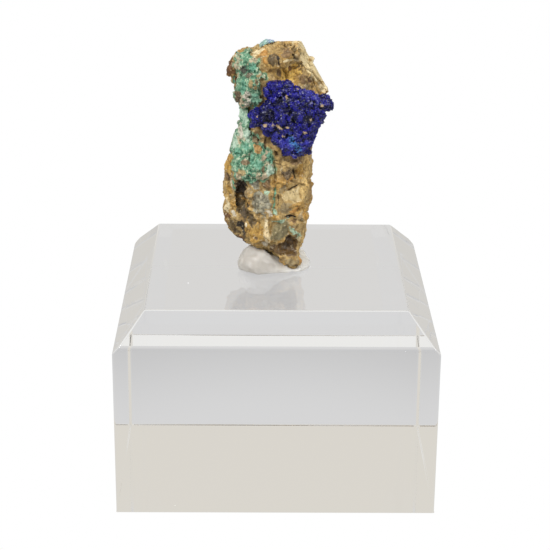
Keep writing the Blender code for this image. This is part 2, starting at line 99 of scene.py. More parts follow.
class Finish:
    """One material, built up from nodes."""

    def __init__(self, name=None, tree=None):
        if tree is None:
            self.material = bpy.data.materials.new(name)
            self.material.use_nodes = True
            tree = self.material.node_tree
        tree.nodes.clear()
        self.tree = tree

    def add(self, kind, settings=None, inputs=None, output=0):
        """Adds a node with its settings and the values or links of its sockets."""
        node = self.tree.nodes.new(kind)
        for key, value in (settings or {}).items():
            setattr(node, key, value)
        for key, value in (inputs or {}).items():
            socket = node.inputs[key]
            if isinstance(value, Amount):
                self.tree.links.new(value.socket, socket)
            elif socket.type == "RGBA":
                socket.default_value = (*value, 1.0)
            else:
                socket.default_value = value
        return None if output is None else Amount(self, node.outputs[output])

    def place(self):
        return self.add("ShaderNodeTexCoord", output="Object")

    def noise(self, scale, detail=3.0, vector=None, roughness=0.55, distortion=0.0):
        return self.add("ShaderNodeTexNoise", {}, {
            "Vector": vector or self.place(), "Scale": scale, "Detail": detail,
            "Roughness": roughness, "Distortion": distortion,
        })

    def cells(self, scale, feature="F1", output="Distance"):
        inputs = {"Vector": self.place(), "Scale": scale}
        return self.add("ShaderNodeTexVoronoi", {"feature": feature}, inputs, output)

    def stretch(self, scale, turn):
        """Object coordinates, stretched and turned, for streaks."""
        return self.add("ShaderNodeMapping", {}, {"Vector": self.place(), "Scale": scale, "Rotation": turn})

    def step(self, value, low, high):
        """Goes smoothly from 0 to 1 while value goes from low to high."""
        return self.add("ShaderNodeMapRange", {"interpolation_type": "SMOOTHSTEP"}, {
            "Value": value, "From Min": low, "From Max": high,
        })

    def mix(self, share, first, second, blend="MIX"):
        return self.add("ShaderNodeMix", {"data_type": "RGBA", "blend_type": blend}, {
            0: share, 6: first, 7: second,
        }, 2)

    def field(self, name):
        """A number that is stored on the mesh's points."""
        return self.add("ShaderNodeAttribute", {"attribute_name": name}, {}, "Fac")

    def bump(self, height, depth, strength):
        return self.add("ShaderNodeBump", {}, {"Height": height, "Distance": depth, "Strength": strength})

    def principled(self, inputs):
        return self.add("ShaderNodeBsdfPrincipled", {}, inputs)

    def close(self, surface):
        self.add("ShaderNodeOutputMaterial", {}, {"Surface": surface}, None)
        return self.material


def only(piece):
    """Makes one piece the only selected and active one."""
    bpy.ops.object.select_all(action="DESELECT")
    piece.select_set(True)
    bpy.context.view_layer.objects.active = piece


def round_edges(piece, chosen, width):
    """Rounds the edges that chosen picks, by the middle and direction of each."""
    only(piece)
    bpy.ops.object.mode_set(mode="EDIT")
    bpy.ops.mesh.select_all(action="DESELECT")
    shape = bmesh.from_edit_mesh(piece.data)
    for edge in shape.edges:
        first, second = (end.co for end in edge.verts)
        edge.select_set(chosen((first + second) / 2, (second - first).normalized()))
    bpy.ops.mesh.bevel(offset=width, segments=3, profile=0.5, affect="EDGES")
    bpy.ops.object.mode_set(mode="OBJECT")


def acrylic_block():
    """A square block with its four top edges milled to chamfers and every edge eased."""
    bpy.ops.object.select_all(action="DESELECT")
    bpy.ops.mesh.primitive_cube_add(size=1.0, location=(0.0, 0.0, BLOCK_HEIGHT / 2))
    piece = bpy.context.object
    piece.name = "acrylic_display_block"
    piece.scale = (BLOCK_SIDE, BLOCK_SIDE, BLOCK_HEIGHT)
    bpy.ops.object.transform_apply(location=True, rotation=True, scale=True)
    half = BLOCK_SIDE / 2
    bpy.ops.object.mode_set(mode="EDIT")
    for x, y, drop in ((0, -1, END_DROP), (0, 1, END_DROP), (-1, 0, SIDE_DROP), (1, 0, SIDE_DROP)):
        bpy.ops.mesh.select_all(action="SELECT")
        bpy.ops.mesh.bisect(
            plane_co=(x * half, y * half, BLOCK_HEIGHT - drop),
            plane_no=Vector((x * drop, y * drop, CHAMFER_RUN)).normalized(),
            use_fill=True, clear_outer=True,
        )
    bpy.ops.object.mode_set(mode="OBJECT")
    lowest_top = BLOCK_HEIGHT - SIDE_DROP - EDGE_REACH
    round_edges(piece, lambda middle, way: middle.z < EDGE_REACH, FOOT_ROUND)
    round_edges(piece, lambda middle, way: abs(way.z) > 0.95 and middle.length > half, WALL_ROUND)
    round_edges(piece, lambda middle, way: middle.z > lowest_top, TOP_ROUND)
    for corner in piece.data.vertices:
        x, y, z = corner.co
        corner.co = (max(-half, min(half, x)), max(-half, min(half, y)), z)
    only(piece)
    bpy.ops.object.shade_smooth()
    flat = piece.modifiers.new("flat_faces", "WEIGHTED_NORMAL")
    flat.weight = 100
    bpy.ops.object.modifier_apply(modifier=flat.name)
    return piece


def acrylic_finish():
    finish = Finish("clear_acrylic")
    clear = finish.principled({
        "Base Color": WHITE, "Roughness": 0.0, "IOR": BLOCK_IOR, "Transmission Weight": 1.0,
    })
    # dust grains on the faces, which also glow faintly: painted light
    glowing_dust = finish.principled({"Base Color": WHITE, "Roughness": 0.6, "Emission Strength": 0.5})
    grains = finish.step(finish.cells(DUST_SCALE), DUST_SIZE, DUST_SIZE * 0.6)
    chosen = finish.step(finish.cells(DUST_SCALE, output="Color"), 1.0 - DUST_SHARE, 1.01 - DUST_SHARE)
    surface = finish.add("ShaderNodeMixShader", {}, {0: grains * chosen, 1: clear, 2: glowing_dust})
    return finish.close(surface)


def dress(piece, material):
    """Gives a piece one material."""
    piece.data.materials.clear()
    piece.data.materials.append(material)


block = acrylic_block()
dress(block, acrylic_finish())
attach(block, "root")
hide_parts("acrylic_block")

# ------------------------------------------------------------
# Mounting tack. A soft, milky putty, pressed by hand round the foot of the
# specimen and smeared thin at its edges. It holds the rock to the acrylic.

# from here on, the shapes are worked in millimetres
BLOCK_TOP = round(BLOCK_HEIGHT / MM, 3)
TACK_VOXEL = 0.11
TACK_FULLNESS = 0.05
DENT_SIZE, DENT_DEPTH = 1.4, 0.05
THUMB_SIZE, THUMB_TILT = 1.3, 0.10
TACK_MILK = ((0.42, 0.395, 0.35), (0.50, 0.47, 0.425))
# painted light on the putty's right side: its colour, and where across it begins and is full
TACK_LIT_SIDE = (0.82, 0.77, 0.66)
LIT_SIDE_FROM, LIT_SIDE_TO = 1.0 * MM, 4.2 * MM


def fine_copy(node_name, name, voxel):
    """A copy of a CAD node with its doubles merged, in millimetres, remeshed to a fine even skin."""
    piece = bpy.data.objects.new(name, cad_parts[node_name].data.copy())
    bpy.context.scene.collection.objects.link(piece)
    piece.data.transform(Matrix.Scale(1.0 / MM, 4))
    only(piece)
    bpy.ops.object.mode_set(mode="EDIT")
    bpy.ops.mesh.select_all(action="SELECT")
    bpy.ops.mesh.remove_doubles(threshold=0.0005)
    bpy.ops.object.mode_set(mode="OBJECT")
    skin = piece.modifiers.new("skin", "REMESH")
    skin.mode = "VOXEL"
    skin.voxel_size = voxel
    bpy.ops.object.modifier_apply(modifier=skin.name)
    bpy.ops.object.shade_smooth()
    return piece


def tree_of(points):
    """A tree that finds the nearest of these points."""
    tree = kdtree.KDTree(len(points))
    for index, point in enumerate(points):
        tree.insert(point, index)
    tree.balance()
    return tree


class Skin:
    """The points of a fine piece as arrays, so that its whole surface is worked at once."""

    def __init__(self, piece):
        self.piece = piece
        mesh = piece.data
        self.count = len(mesh.vertices)
        self.points = np.empty(self.count * 3)
        mesh.vertices.foreach_get("co", self.points)
        self.points = self.points.reshape(-1, 3)
        ends = np.empty(len(mesh.edges) * 2, dtype=np.int64)
        mesh.edges.foreach_get("vertices", ends)
        self.ends = ends.reshape(-1, 2)
        self.degree = np.bincount(ends, minlength=self.count)

    def mean(self, values):
        """The mean of each point's neighbours."""
        first, second = self.ends[:, 0], self.ends[:, 1]
        if values.ndim == 1:
            total = np.bincount(first, values[second], self.count)
            total += np.bincount(second, values[first], self.count)
            return total / self.degree
        return np.stack([self.mean(values[:, axis]) for axis in range(3)], axis=1)

    def soften(self, values, rounds):
        """Moves each value halfway to its neighbours' mean, some times over."""
        for _ in range(rounds):
            values = values + 0.5 * (self.mean(values) - values)
        return values

    def normals(self):
        mesh = self.piece.data
        mesh.vertices.foreach_set("co", self.points.ravel())
        mesh.update()
        found = np.empty(self.count * 3)
        mesh.vertex_normals.foreach_get("vector", found)
        return found.reshape(-1, 3)

    def push(self, heights):
        """Moves each point along its normal."""
        self.points = self.points + self.normals() * heights[:, None]

    def cloud(self, size, seed, octaves=4):
        """Fractal noise from about -1 to 1, with features of that size in mm."""
        shift = Vector((seed, -seed, 0.5 * seed))
        return np.array([noise.fractal(Vector(p) / size + shift, 0.9, 2.0, octaves) for p in self.points])

    def chips(self, spacing, tilt, seed):
        """The small tilted planes of broken stone, one to a cell."""
        draw = np.random.default_rng(seed)
        low, high = np.floor(self.points.min(0)) - 1.0, np.ceil(self.points.max(0)) + 1.0
        volume = float(np.prod(high - low))
        seeds = low + draw.random((int(volume / spacing ** 3), 3)) * (high - low)
        tree = tree_of(seeds)
        wobble = self.wobble(0.3 * spacing, 1.3 * spacing, seed)
        nearest = np.array([tree.find(p)[1] for p in self.points + wobble])
        slopes = draw.normal(0.0, tilt, (len(seeds), 3))
        return np.einsum("ij,ij->i", slopes[nearest], self.points - seeds[nearest])

    def wobble(self, reach, size, seed):
        """A smooth random shift for each point."""
        noise.seed_set(3)
        shift = Vector((seed, 2.0 * seed, -seed))
        return reach * np.array([noise.noise_vector(Vector(p) / size + shift) for p in self.points])

    def cleave(self, middle, halves, way):
        """Presses what stands out past a plane back on to it, within an oval reach of its middle."""
        away = self.points - np.array(middle) - (0.0, 0.0, BLOCK_TOP)
        way = np.array(way) / np.linalg.norm(way)
        past = np.maximum(away @ way, 0.0)
        hold = np.clip(3.0 * (1.0 - np.linalg.norm(away / halves, axis=1)), 0.0, 1.0)
        self.points = self.points - (past * hold)[:, None] * way

    def undercut(self, first, second, depth, reach):
        """Sinks the front to the left of a line, from a sharp edge along it."""
        line = np.array(second) - first
        length = np.linalg.norm(line)
        line = line / length
        flat = self.points[:, (0, 2)] - np.array(first) - (0.0, BLOCK_TOP)
        along = flat @ line
        left = flat @ np.array((line[1], -line[0]))
        sunk = np.clip(left / 0.10, 0.0, 1.0) * np.clip(1.0 - left / reach, 0.0, 1.0)
        sunk *= np.clip(2.0 * along, 0.0, 1.0) * np.clip(2.0 * (length - along), 0.0, 1.0)
        front = np.clip(-2.0 * self.normals()[:, 1], 0.0, 1.0)
        self.push(-depth * sunk * front)

    def stands_out(self, rounds):
        """How far each point stands out of a softened copy of the surface."""
        return np.einsum("ij,ij->i", self.points - self.soften(self.points, rounds), self.normals())

    def store(self, name, values):
        """Keeps a number for each point, for the material."""
        kept = self.piece.data.attributes.new(name, "FLOAT", "POINT")
        kept.data.foreach_set("value", values.astype(np.float32))

    def finish(self, node_name):
        """Keeps the piece in its node's box and turns it back to metres."""
        low, high = (np.array(corner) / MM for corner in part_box(node_name))
        self.points = np.clip(self.points, low, high)
        mesh = self.piece.data
        mesh.vertices.foreach_set("co", self.points.ravel())
        mesh.update()
        mesh.transform(Matrix.Scale(MM, 4))


def tack_finish():
    finish = Finish("milky_tack")
    cloudy = finish.noise(420.0, 3.0)
    colour = finish.mix(finish.step(cloudy, 0.35, 0.65), *TACK_MILK)
    across = finish.add("ShaderNodeSeparateXYZ", {}, {0: finish.place()}, 0)
    # painted light: the putty turns lighter toward its right, as if light shines through it there
    lit_side = finish.step(across + 0.002 * cloudy, LIT_SIDE_FROM, LIT_SIDE_TO)
    colour = colour.toward(lit_side, TACK_LIT_SIDE)
    relief = finish.bump(finish.noise(1500.0, 3.0), 0.00006, 0.6)
    return finish.close(finish.principled({
        "Base Color": colour, "Roughness": 0.38, "IOR": 1.45, "Normal": relief,
        "Subsurface Weight": 0.9, "Subsurface Radius": (1.0, 0.95, 0.9), "Subsurface Scale": 0.003,
    }))


tack = fine_copy("mounting_tack", "putty_pad", TACK_VOXEL)
skin = Skin(tack)
skin.points = skin.soften(skin.points, 10)
dents = DENT_DEPTH * skin.cloud(DENT_SIZE, 3.0)
skin.push(dents + skin.soften(skin.chips(THUMB_SIZE, THUMB_TILT, 2), 6) + TACK_FULLNESS)
skin.finish("mounting_tack")
dress(tack, tack_finish())
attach(tack, "root")
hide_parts("mounting_tack")

# ------------------------------------------------------------
# Rock. Iron-stained vein rock, broken from the wall of a copper deposit, with
# quartz, smoky glass and ochre grown into it as one piece. Its foot is pressed
# into the tack.

ROCK_VOXEL = 0.105
# chips where it broke, by their size, each with its seed
CHIP_SEEDS = {1.9: 5, 0.8: 6, 0.36: 8}
CHIP_TILT = 0.12
GRAIN_SIZE, GRAIN_DEPTH = 0.5, 0.03
HOLLOW_DEPTH, EDGE_HEIGHT = 0.09, 0.10
# painted shade colour for the rock's hollows
HOLLOW_SHADE_BROWN = (0.030, 0.018, 0.006)
# lightening for raised edges and knobs, as wear and as painted highlight
WEAR_AND_HIGHLIGHT = (1.6, 1.5, 1.35)
DARK_FLECK = (0.10, 0.055, 0.022)
PALE_FLECK = (0.74, 0.64, 0.46)
CRACK_BROWN = (0.055, 0.028, 0.010)
DUSTY_WARMTH = (1.0, 0.98, 0.90)

# mineral: dark colour, light colour, roughness of its surface
MINERALS = {
    "tan": ((0.26, 0.165, 0.06), (0.62, 0.45, 0.20), 0.75),
    "buff": ((0.60, 0.47, 0.25), (0.86, 0.73, 0.45), 0.80),
    "sand": ((0.44, 0.33, 0.16), (0.72, 0.58, 0.33), 0.80),
    "cream": ((0.50, 0.38, 0.20), (0.88, 0.77, 0.53), 0.70),
    "beige": ((0.40, 0.27, 0.16), (0.70, 0.54, 0.36), 0.75),
    "ochre": ((0.24, 0.12, 0.022), (0.66, 0.42, 0.12), 0.80),
    "gold": ((0.42, 0.24, 0.045), (0.90, 0.62, 0.18), 0.80),
    "straw": ((0.40, 0.25, 0.085), (0.76, 0.56, 0.24), 0.75),
    "bark": ((0.045, 0.028, 0.010), (0.19, 0.13, 0.055), 0.60),
    "rust": ((0.28, 0.12, 0.02), (0.64, 0.36, 0.11), 0.75),
    "umber": ((0.09, 0.055, 0.025), (0.33, 0.21, 0.10), 0.70),
    "iron": ((0.045, 0.020, 0.008), (0.20, 0.095, 0.035), 0.65),
    "bronze": ((0.060, 0.034, 0.012), (0.20, 0.115, 0.040), 0.35),
    "smoke": ((0.16, 0.115, 0.055), (0.42, 0.32, 0.17), 0.40),
    "smoky": ((0.045, 0.032, 0.020), (0.24, 0.175, 0.105), 0.25),
    "quartz": ((0.13, 0.12, 0.085), (0.46, 0.44, 0.34), 0.20),
    "olive": ((0.12, 0.10, 0.045), (0.34, 0.29, 0.16), 0.28),
    "silk": ((0.38, 0.33, 0.25), (0.80, 0.74, 0.61), 0.60),
    "mint": ((0.20, 0.37, 0.25), (0.58, 0.72, 0.57), 0.65),
    "green": ((0.03, 0.19, 0.11), (0.24, 0.52, 0.36), 0.70),
    # black_and_shade is near-black: painted shade in pits, recesses, grooves, slits and beside domes, and the
    # dark of cracks and black needles
    "black_and_shade": ((0.008, 0.006, 0.004), (0.045, 0.032, 0.020), 0.50),
}

# form: mineral, middle in mm above the block's top, half sizes across and up,
# turn in degrees, rise in mm; a later form lies over an earlier one
ROCK_FORMS = {
    "back_ochre": ("ochre", (0.6, 3.2, 15.6), (1.5, 2.6), 15, 0.08),
    "back_straw": ("straw", (-1.6, 3.0, 20.4), (1.5, 1.7), -20, 0.0),
    "back_umber": ("umber", (-1.7, 3.2, 8.2), (1.2, 2.3), -25, -0.08),
    "back_sand": ("sand", (1.3, 3.2, 10.8), (1.3, 1.6), 30, 0.06),
    "back_rust": ("rust", (1.9, 3.0, 20.0), (0.8, 1.1), 10, 0.05),
    "back_smoke": ("smoke", (0.2, 3.0, 4.8), (1.3, 1.0), 20, 0.05),
    "back_green": ("green", (-3.6, 1.6, 18.4), (0.7, 1.5), 12, 0.0),
    "back_seam": ("rust", (1.4, 3.2, 13.0), (1.3, 0.35), -25, -0.08),
    "flank_umber": ("umber", (4.2, 1.0, 14.4), (1.2, 1.0), 0, 0.0),
    "flank_ochre": ("ochre", (3.6, 0.9, 6.4), (1.2, 1.4), 0, 0.05),
    "flank_cream": ("sand", (3.8, 1.0, 10.6), (0.9, 1.0), 15, 0.05),
    "spot_seat": ("tan", (-1.0, -0.2, 23.3), (0.9, 0.6), 0, 0.16),
    "top_ledge": ("cream", (-2.0, -1.6, 22.9), (0.92, 0.54), 0, 0),
    "ledge_rust": ("rust", (-1.5, -1.8, 22.8), (0.71, 0.16), 27, 0.06),
    "left_shoulder": ("silk", (-4.1, -1.2, 22.0), (0.56, 0.71), 10, 0),
    "shoulder_green": ("green", (-3.3, -1.7, 22.6), (0.33, 0.87), -12, 0.06),
    "shoulder_foot_green": ("green", (-2.7, -2.5, 22.1), (0.51, 0.44), 30, 0.04),
    "iron_bump": ("iron", (-4.8, -1.2, 21.2), (0.90, 0.95), 0, 0.26),
    "iron_strip": ("iron", (-4.1, -1.1, 19.3), (0.20, 1.52), 14, 0.08),
    "orange_nodule": ("rust", (-1.2, -3.3, 22.4), (0.26, 0.45), 0, 0.22),
    "nodule_neck": ("tan", (-1.7, -3.0, 21.8), (0.41, 0.33), 0, 0),
    "grey_dome": ("bark", (-0.5, -3.6, 22.7), (0.56, 0.65), 0, 0.16),
    "dome_crescent": ("black_and_shade", (-0.0, -3.7, 22.5), (0.10, 0.49), 12, -0.3),
    "brow_dome": ("umber", (0.9, -2.5, 23.2), (0.66, 0.44), 0, 0.2),
    "brow_pit": ("black_and_shade", (1.6, -2.8, 22.8), (0.14, 0.44), 15, -0.25),
    "brow_streak": ("cream", (1.0, -2.8, 22.4), (0.41, 0.14), 10, 0.05),
    "right_dome": ("smoke", (1.9, -2.7, 22.7), (0.41, 0.54), 0, 0.12),
    "ochre_heart": ("gold", (1.2, -1.8, 21.0), (1.15, 1.0), 0, 0.15),
    "heart_pit": ("iron", (1.1, -1.9, 21.5), (0.22, 0.33), 0, -0.12),
    "heart_pit_low": ("umber", (0.3, -2.5, 21.0), (0.18, 0.38), 20, -0.1),
    "fibrous_brow": ("umber", (2.5, -2.5, 20.3), (0.92, 0.60), -32, 0.05),
    "red_corner": ("iron", (3.2, -2.1, 20.3), (0.56, 0.28), -45, -0.1),
    "brow_foot": ("smoke", (2.8, -2.6, 19.6), (0.81, 0.22), -6, 0.08),
    "cleaved_top": ("buff", (1.5, -1.6, 24.1), (1.6, 0.42), -6, 0),
    "cleaved_face": ("buff", (3.65, -1.2, 21.6), (0.85, 3.4), 33, 0),
    "face_knob": ("cream", (3.6, 0.1, 21.9), (0.40, 0.45), 0, 0.38),
    "knob_slit": ("black_and_shade", (3.7, -0.2, 21.5), (0.07, 0.30), 18, -0.25),
    "ridge_knob": ("cream", (4.8, -0.7, 19.0), (0.43, 0.71), 20, 0.1),
    "ridge_rust": ("rust", (4.8, -0.2, 18.5), (0.16, 0.17), 0, -0.08),
    "flank_olive": ("tan", (-1.5, -2.8, 18.2), (0.51, 0.54), 35, 0),
    "waist_green": ("green", (-2.5, -2.6, 17.9), (0.75, 0.60), -30, 0.15),
    "waist_mint": ("mint", (-3.3, -2.0, 17.5), (0.65, 0.65), 0, 0.15),
    "flank_olive_pit": ("black_and_shade", (-1.2, -2.9, 18.6), (0.14, 0.17), 0, -0.2),
    "brown_cup": ("umber", (-2.1, -2.3, 14.4), (0.51, 0.71), 0, -0.05),
    "cup_foot": ("rust", (-1.9, -2.7, 13.2), (0.51, 0.49), 0, 0.12),
    "cup_dark": ("umber", (-1.2, -2.9, 13.6), (0.20, 0.87), 0, -0.2),
    "left_bulge": ("ochre", (-4.7, -1.2, 11.3), (0.56, 1.09), -15, 0.05),
    "bulge_foot": ("umber", (-5.1, -1.0, 9.9), (0.25, 0.44), 0, -0.1),
    "beige_patch": ("beige", (-3.6, -2.4, 10.8), (0.59, 0.65), 0, 0.1),
    "strip_white": ("silk", (-4.5, -1.7, 9.5), (0.09, 0.98), 4, 0.05),
    "strip_green": ("green", (-4.3, -1.9, 9.3), (0.10, 1.09), 2, 0),
    "green_arc": ("green", (-3.4, -2.6, 10.1), (0.66, 0.35), -8, 0.03),
    "left_rim": ("ochre", (-4.8, -1.5, 8.6), (0.26, 0.87), 6, 0.08),
    "left_flake": ("cream", (-4.9, -1.5, 7.0), (0.24, 0.87), 0, 0.1),
    "black_recess": ("black_and_shade", (-3.6, -2.1, 8.6), (0.66, 1.75), -6, -0.55),
    "recess_foot": ("bark", (-3.2, -2.6, 6.7), (0.85, 1.20), 25, -0.25),
    "recess_top": ("quartz", (-2.4, -3.4, 9.7), (0.70, 0.50), -20, -0.1),
    "ochre_dome": ("smoke", (-2.8, -3.5, 8.9), (0.45, 0.60), 0, 0.3),
    "dome_foot": ("rust", (-2.6, -3.2, 7.8), (0.35, 0.44), 30, 0.05),
    "grey_quartz": ("quartz", (-1.45, -3.5, 7.8), (1.20, 1.40), 30, 0.1),
    "quartz_white": ("silk", (-0.7, -3.5, 6.7), (0.30, 0.55), 30, 0),
    "mint_knob": ("mint", (-1.1, -3.3, 8.9), (0.36, 0.24), -10, 0.15),
    "brown_block": ("umber", (-1.0, -3.3, 9.9), (0.45, 0.71), 0, 0.1),
    "green_seam": ("green", (-0.2, -3.1, 8.4), (0.13, 1.96), -3, 0),
    "seam_foot": ("mint", (-0.1, -3.1, 6.9), (0.17, 0.30), 20, 0.03),
    "seam_crack": ("black_and_shade", (0.15, -3.1, 8.2), (0.07, 0.90), -3, -0.2),
    "white_flake": ("silk", (-4.3, -2.0, 6.3), (0.26, 0.50), 35, 0.12),
    "iron_foot": ("iron", (-4.9, -1.5, 5.6), (0.46, 0.65), 0, 0),
    "pink_patch": ("silk", (-4.4, -1.7, 4.7), (0.26, 0.60), 22, 0.06),
    "dark_foot": ("bark", (-4.0, -1.9, 4.5), (0.92, 1.41), 35, 0),
    "black_foot": ("black_and_shade", (-3.6, -2.4, 5.0), (0.50, 0.80), 0, -0.3),
    "ochre_block": ("ochre", (-2.2, -3.4, 4.7), (0.81, 1.47), 0, 0.1),
    "block_flake": ("silk", (-3.0, -3.1, 5.5), (0.13, 0.37), 0, 0.08),
    "block_pit": ("umber", (-2.5, -3.3, 5.6), (0.20, 0.27), 0, -0.15),
    "block_pit_low": ("umber", (-2.0, -3.4, 4.1), (0.16, 0.17), 0, -0.15),
    "cream_rib": ("cream", (-1.0, -3.5, 4.8), (0.31, 1.47), 3, 0.12),
    "rib_foot": ("silk", (-1.0, -2.9, 3.0), (0.45, 0.33), -30, 0.08),
    "glass_facet": ("olive", (0.4, -3.1, 4.7), (0.92, 1.50), -38, 0.05),
    "facet_rim": ("mint", (0.3, -3.3, 5.9), (1.0, 0.17), 12, 0.05),
    "facet_ochre": ("ochre", (-0.2, -3.4, 6.2), (0.51, 0.33), 20, 0.08),
    "pale_bar": ("mint", (1.95, -3.0, 4.45), (0.36, 1.00), 42, 0.12),
    "bar_foot": ("cream", (2.4, -2.4, 3.7), (0.24, 0.37), 35, 0.08),
    "smooth_hollow": ("bronze", (0.7, -2.5, 2.7), (1.65, 0.75), 5, -0.12),
    "hollow_right": ("bronze", (1.5, -2.2, 3.1), (0.75, 1.15), 0, -0.12),
    "hollow_foot": ("bronze", (1.5, -2.1, 2.3), (0.81, 0.65), 0, -0.05),
    "tip": ("smoke", (1.6, -2.4, 1.1), (0.81, 0.49), -12, 0.05),
    "tip_pit": ("iron", (1.9, -2.3, 0.9), (0.18, 0.20), 0, -0.15),
    "tip_rust": ("rust", (2.3, -2.1, 1.4), (0.24, 0.39), 0, 0),
    "column_top": ("tan", (0.3, -3.0, 12.1), (0.66, 0.60), 0, 0.05),
    "column_shadow": ("umber", (1.9, -3.3, 12.3), (0.86, 0.54), 10, -0.15),
    "amber_lens": ("smoky", (1.0, -2.8, 10.8), (0.63, 0.67), 0, 0.16),
    "lens_rim": ("rust", (1.5, -2.6, 10.2), (0.56, 0.18), 30, 0.05),
    "lens_crack": ("black_and_shade", (1.8, -2.3, 10.7), (0.09, 0.87), 12, -0.25),
    "lens_foot": ("smoke", (0.5, -3.0, 9.2), (0.47, 0.52), 0, 0.04),
    "column_ochre": ("ochre", (2.5, -2.5, 11.0), (0.56, 0.76), 0, 0),
    "column_right": ("straw", (3.1, -1.9, 11.4), (0.36, 1.09), 0, 0.06),
    "slant_crack": ("black_and_shade", (1.6, -2.7, 9.3), (0.76, 0.10), 33, -0.28),
    "smooth_face": ("sand", (1.9, -3.1, 8.5), (1.55, 0.85), 8, 0.05),
    "face_corner": ("straw", (2.9, -2.5, 8.9), (0.51, 1.09), 0, 0.05),
    "brown_glass": ("smoke", (1.0, -3.3, 7.2), (0.81, 0.71), 15, 0.05),
    "glass_rust": ("rust", (1.9, -3.2, 7.1), (0.76, 0.16), 32, 0.08),
    "under_groove": ("black_and_shade", (1.4, -2.9, 6.3), (0.66, 0.20), 15, -0.35),
    "oval_knob": ("smoke", (2.5, -3.0, 6.3), (0.35, 0.72), 0, 0.18),
    "knob_rim": ("ochre", (2.9, -2.9, 6.3), (0.18, 0.82), 0, 0.05),
    "knob_foot": ("umber", (1.7, -3.0, 5.7), (0.41, 0.28), 0, -0.1),
    "strip_foot": ("iron", (-3.7, -1.3, 18.3), (0.30, 0.75), 0, 0.12),
    "flank_strip": ("green", (-4.4, -1.0, 20.0), (0.12, 0.70), -10, 0),
    "ridge_rust_low": ("rust", (5.3, -0.7, 18.3), (0.15, 0.30), 0, 0),
    "foot_edge": ("iron", (-3.6, -2.2, 3.4), (0.90, 0.25), -30, 0),
    "vein_dark": ("bark", (-2.6, -3.2, 6.0), (0.45, 0.80), 30, -0.10),
    "tan_edge": ("straw", (2.8, -2.2, 2.9), (0.26, 1.70), 0, 0.05),
}
CALM_MINERALS = ("buff", "sand", "olive", "bronze")
CALM_FORMS = ("cleaved_top", "cleaved_face", "smooth_face", "brown_glass", "glass_facet", "smooth_hollow")

# flat breaks through the rock: middle, half sizes of its reach, the way it faces
ROCK_BREAKS = (
    ((3.2, -0.5, 22.1), (6.0, 7.0, 6.0), (0.86, -0.15, 0.49)),
    ((3.05, 0.43, 22.1), (6.0, 7.0, 6.0), (0.84, 0.30, 0.46)),
    ((1.9, 0.0, 23.62), (2.4, 7.0, 4.0), (-0.03, 0.30, 0.95)),
    ((-4.60, -1.5, 13.7), (2.0, 4.0, 1.5), (-0.97, 0.0, 0.25)),
    ((2.1, -2.6, 8.6), (1.6, 2.0, 1.1), (0.10, -0.98, 0.16)),
    ((0.3, -3.15, 4.6), (1.2, 1.6, 1.5), (-0.15, -0.96, 0.20)),
)

# what is built out before the breaks, to leave a sharp corner at the top: middle, half sizes, turn
TOP_CORNER = ((2.4, -0.4, 23.5), (1.1, 1.0), 0.0)
CORNER_RISE = 0.7

# steps in the front: both ends across and up, depth and reach of the sunk side
ROCK_STEPS = (
    ((2.2, 23.5), (5.0, 19.1), 0.45, 1.3),
    ((0.1, 23.8), (2.3, 23.5), 0.30, 0.8),
)

# how a form's rim strays from an oval: share, size in mm and seed of each layer, then how far it
# strays on a calm form, and on the others: at least, and more with the form's size
RIM_LAYERS = ((1.0, 0.9, 4.0), (0.5, 0.35, 9.0), (0.25, 0.15, 13.0))
CALM_STRAY = 0.08
ROCK_STRAY = (0.13, 0.22)


def inside(points, middle, halves, turn):
    """How far inside an upright oval each point lies: 1 at its middle, 0 on its rim."""
    away = points - np.array(middle)
    cosine, sine = math.cos(math.radians(turn)), math.sin(math.radians(turn))
    along = (cosine * away[:, 0] + sine * away[:, 2]) / halves[0]
    upward = (cosine * away[:, 2] - sine * away[:, 0]) / halves[1]
    deep = away[:, 1] / (1.3 * max(halves) + 0.5)
    return 1.0 - np.sqrt(along ** 2 + upward ** 2 + deep ** 2)


def dome(reach):
    """A round swell from 0 on an oval's rim to 1 at its middle."""
    swell = np.clip(reach, 0.0, 1.0)
    return swell * (2.0 - swell)


def lay_forms(skin, base, forms, names, strays, calm_forms=()):
    """Each mineral's reach over the surface, how far the forms rise, and where the surface is calm."""
    rim = sum(skin.wobble(*layer) for layer in RIM_LAYERS)
    fields = {name: np.full(skin.count, -3.0) for name in names}
    rise, calm = np.zeros(skin.count), np.zeros(skin.count)
    for form, (mineral, middle, halves, turn, lift) in forms.items():
        stray = CALM_STRAY if form in calm_forms else strays[0] + strays[1] * min(halves)
        reach = inside(base + stray * rim, middle, halves, turn)
        if form in calm_forms:
            calm = np.maximum(calm, np.clip(4.0 * reach, 0.0, 1.0))
        for name, field in fields.items():
            fields[name] = np.maximum(field, reach) if name == mineral else np.minimum(field, -reach)
        rise += lift * dome(reach)
    return fields, rise, calm


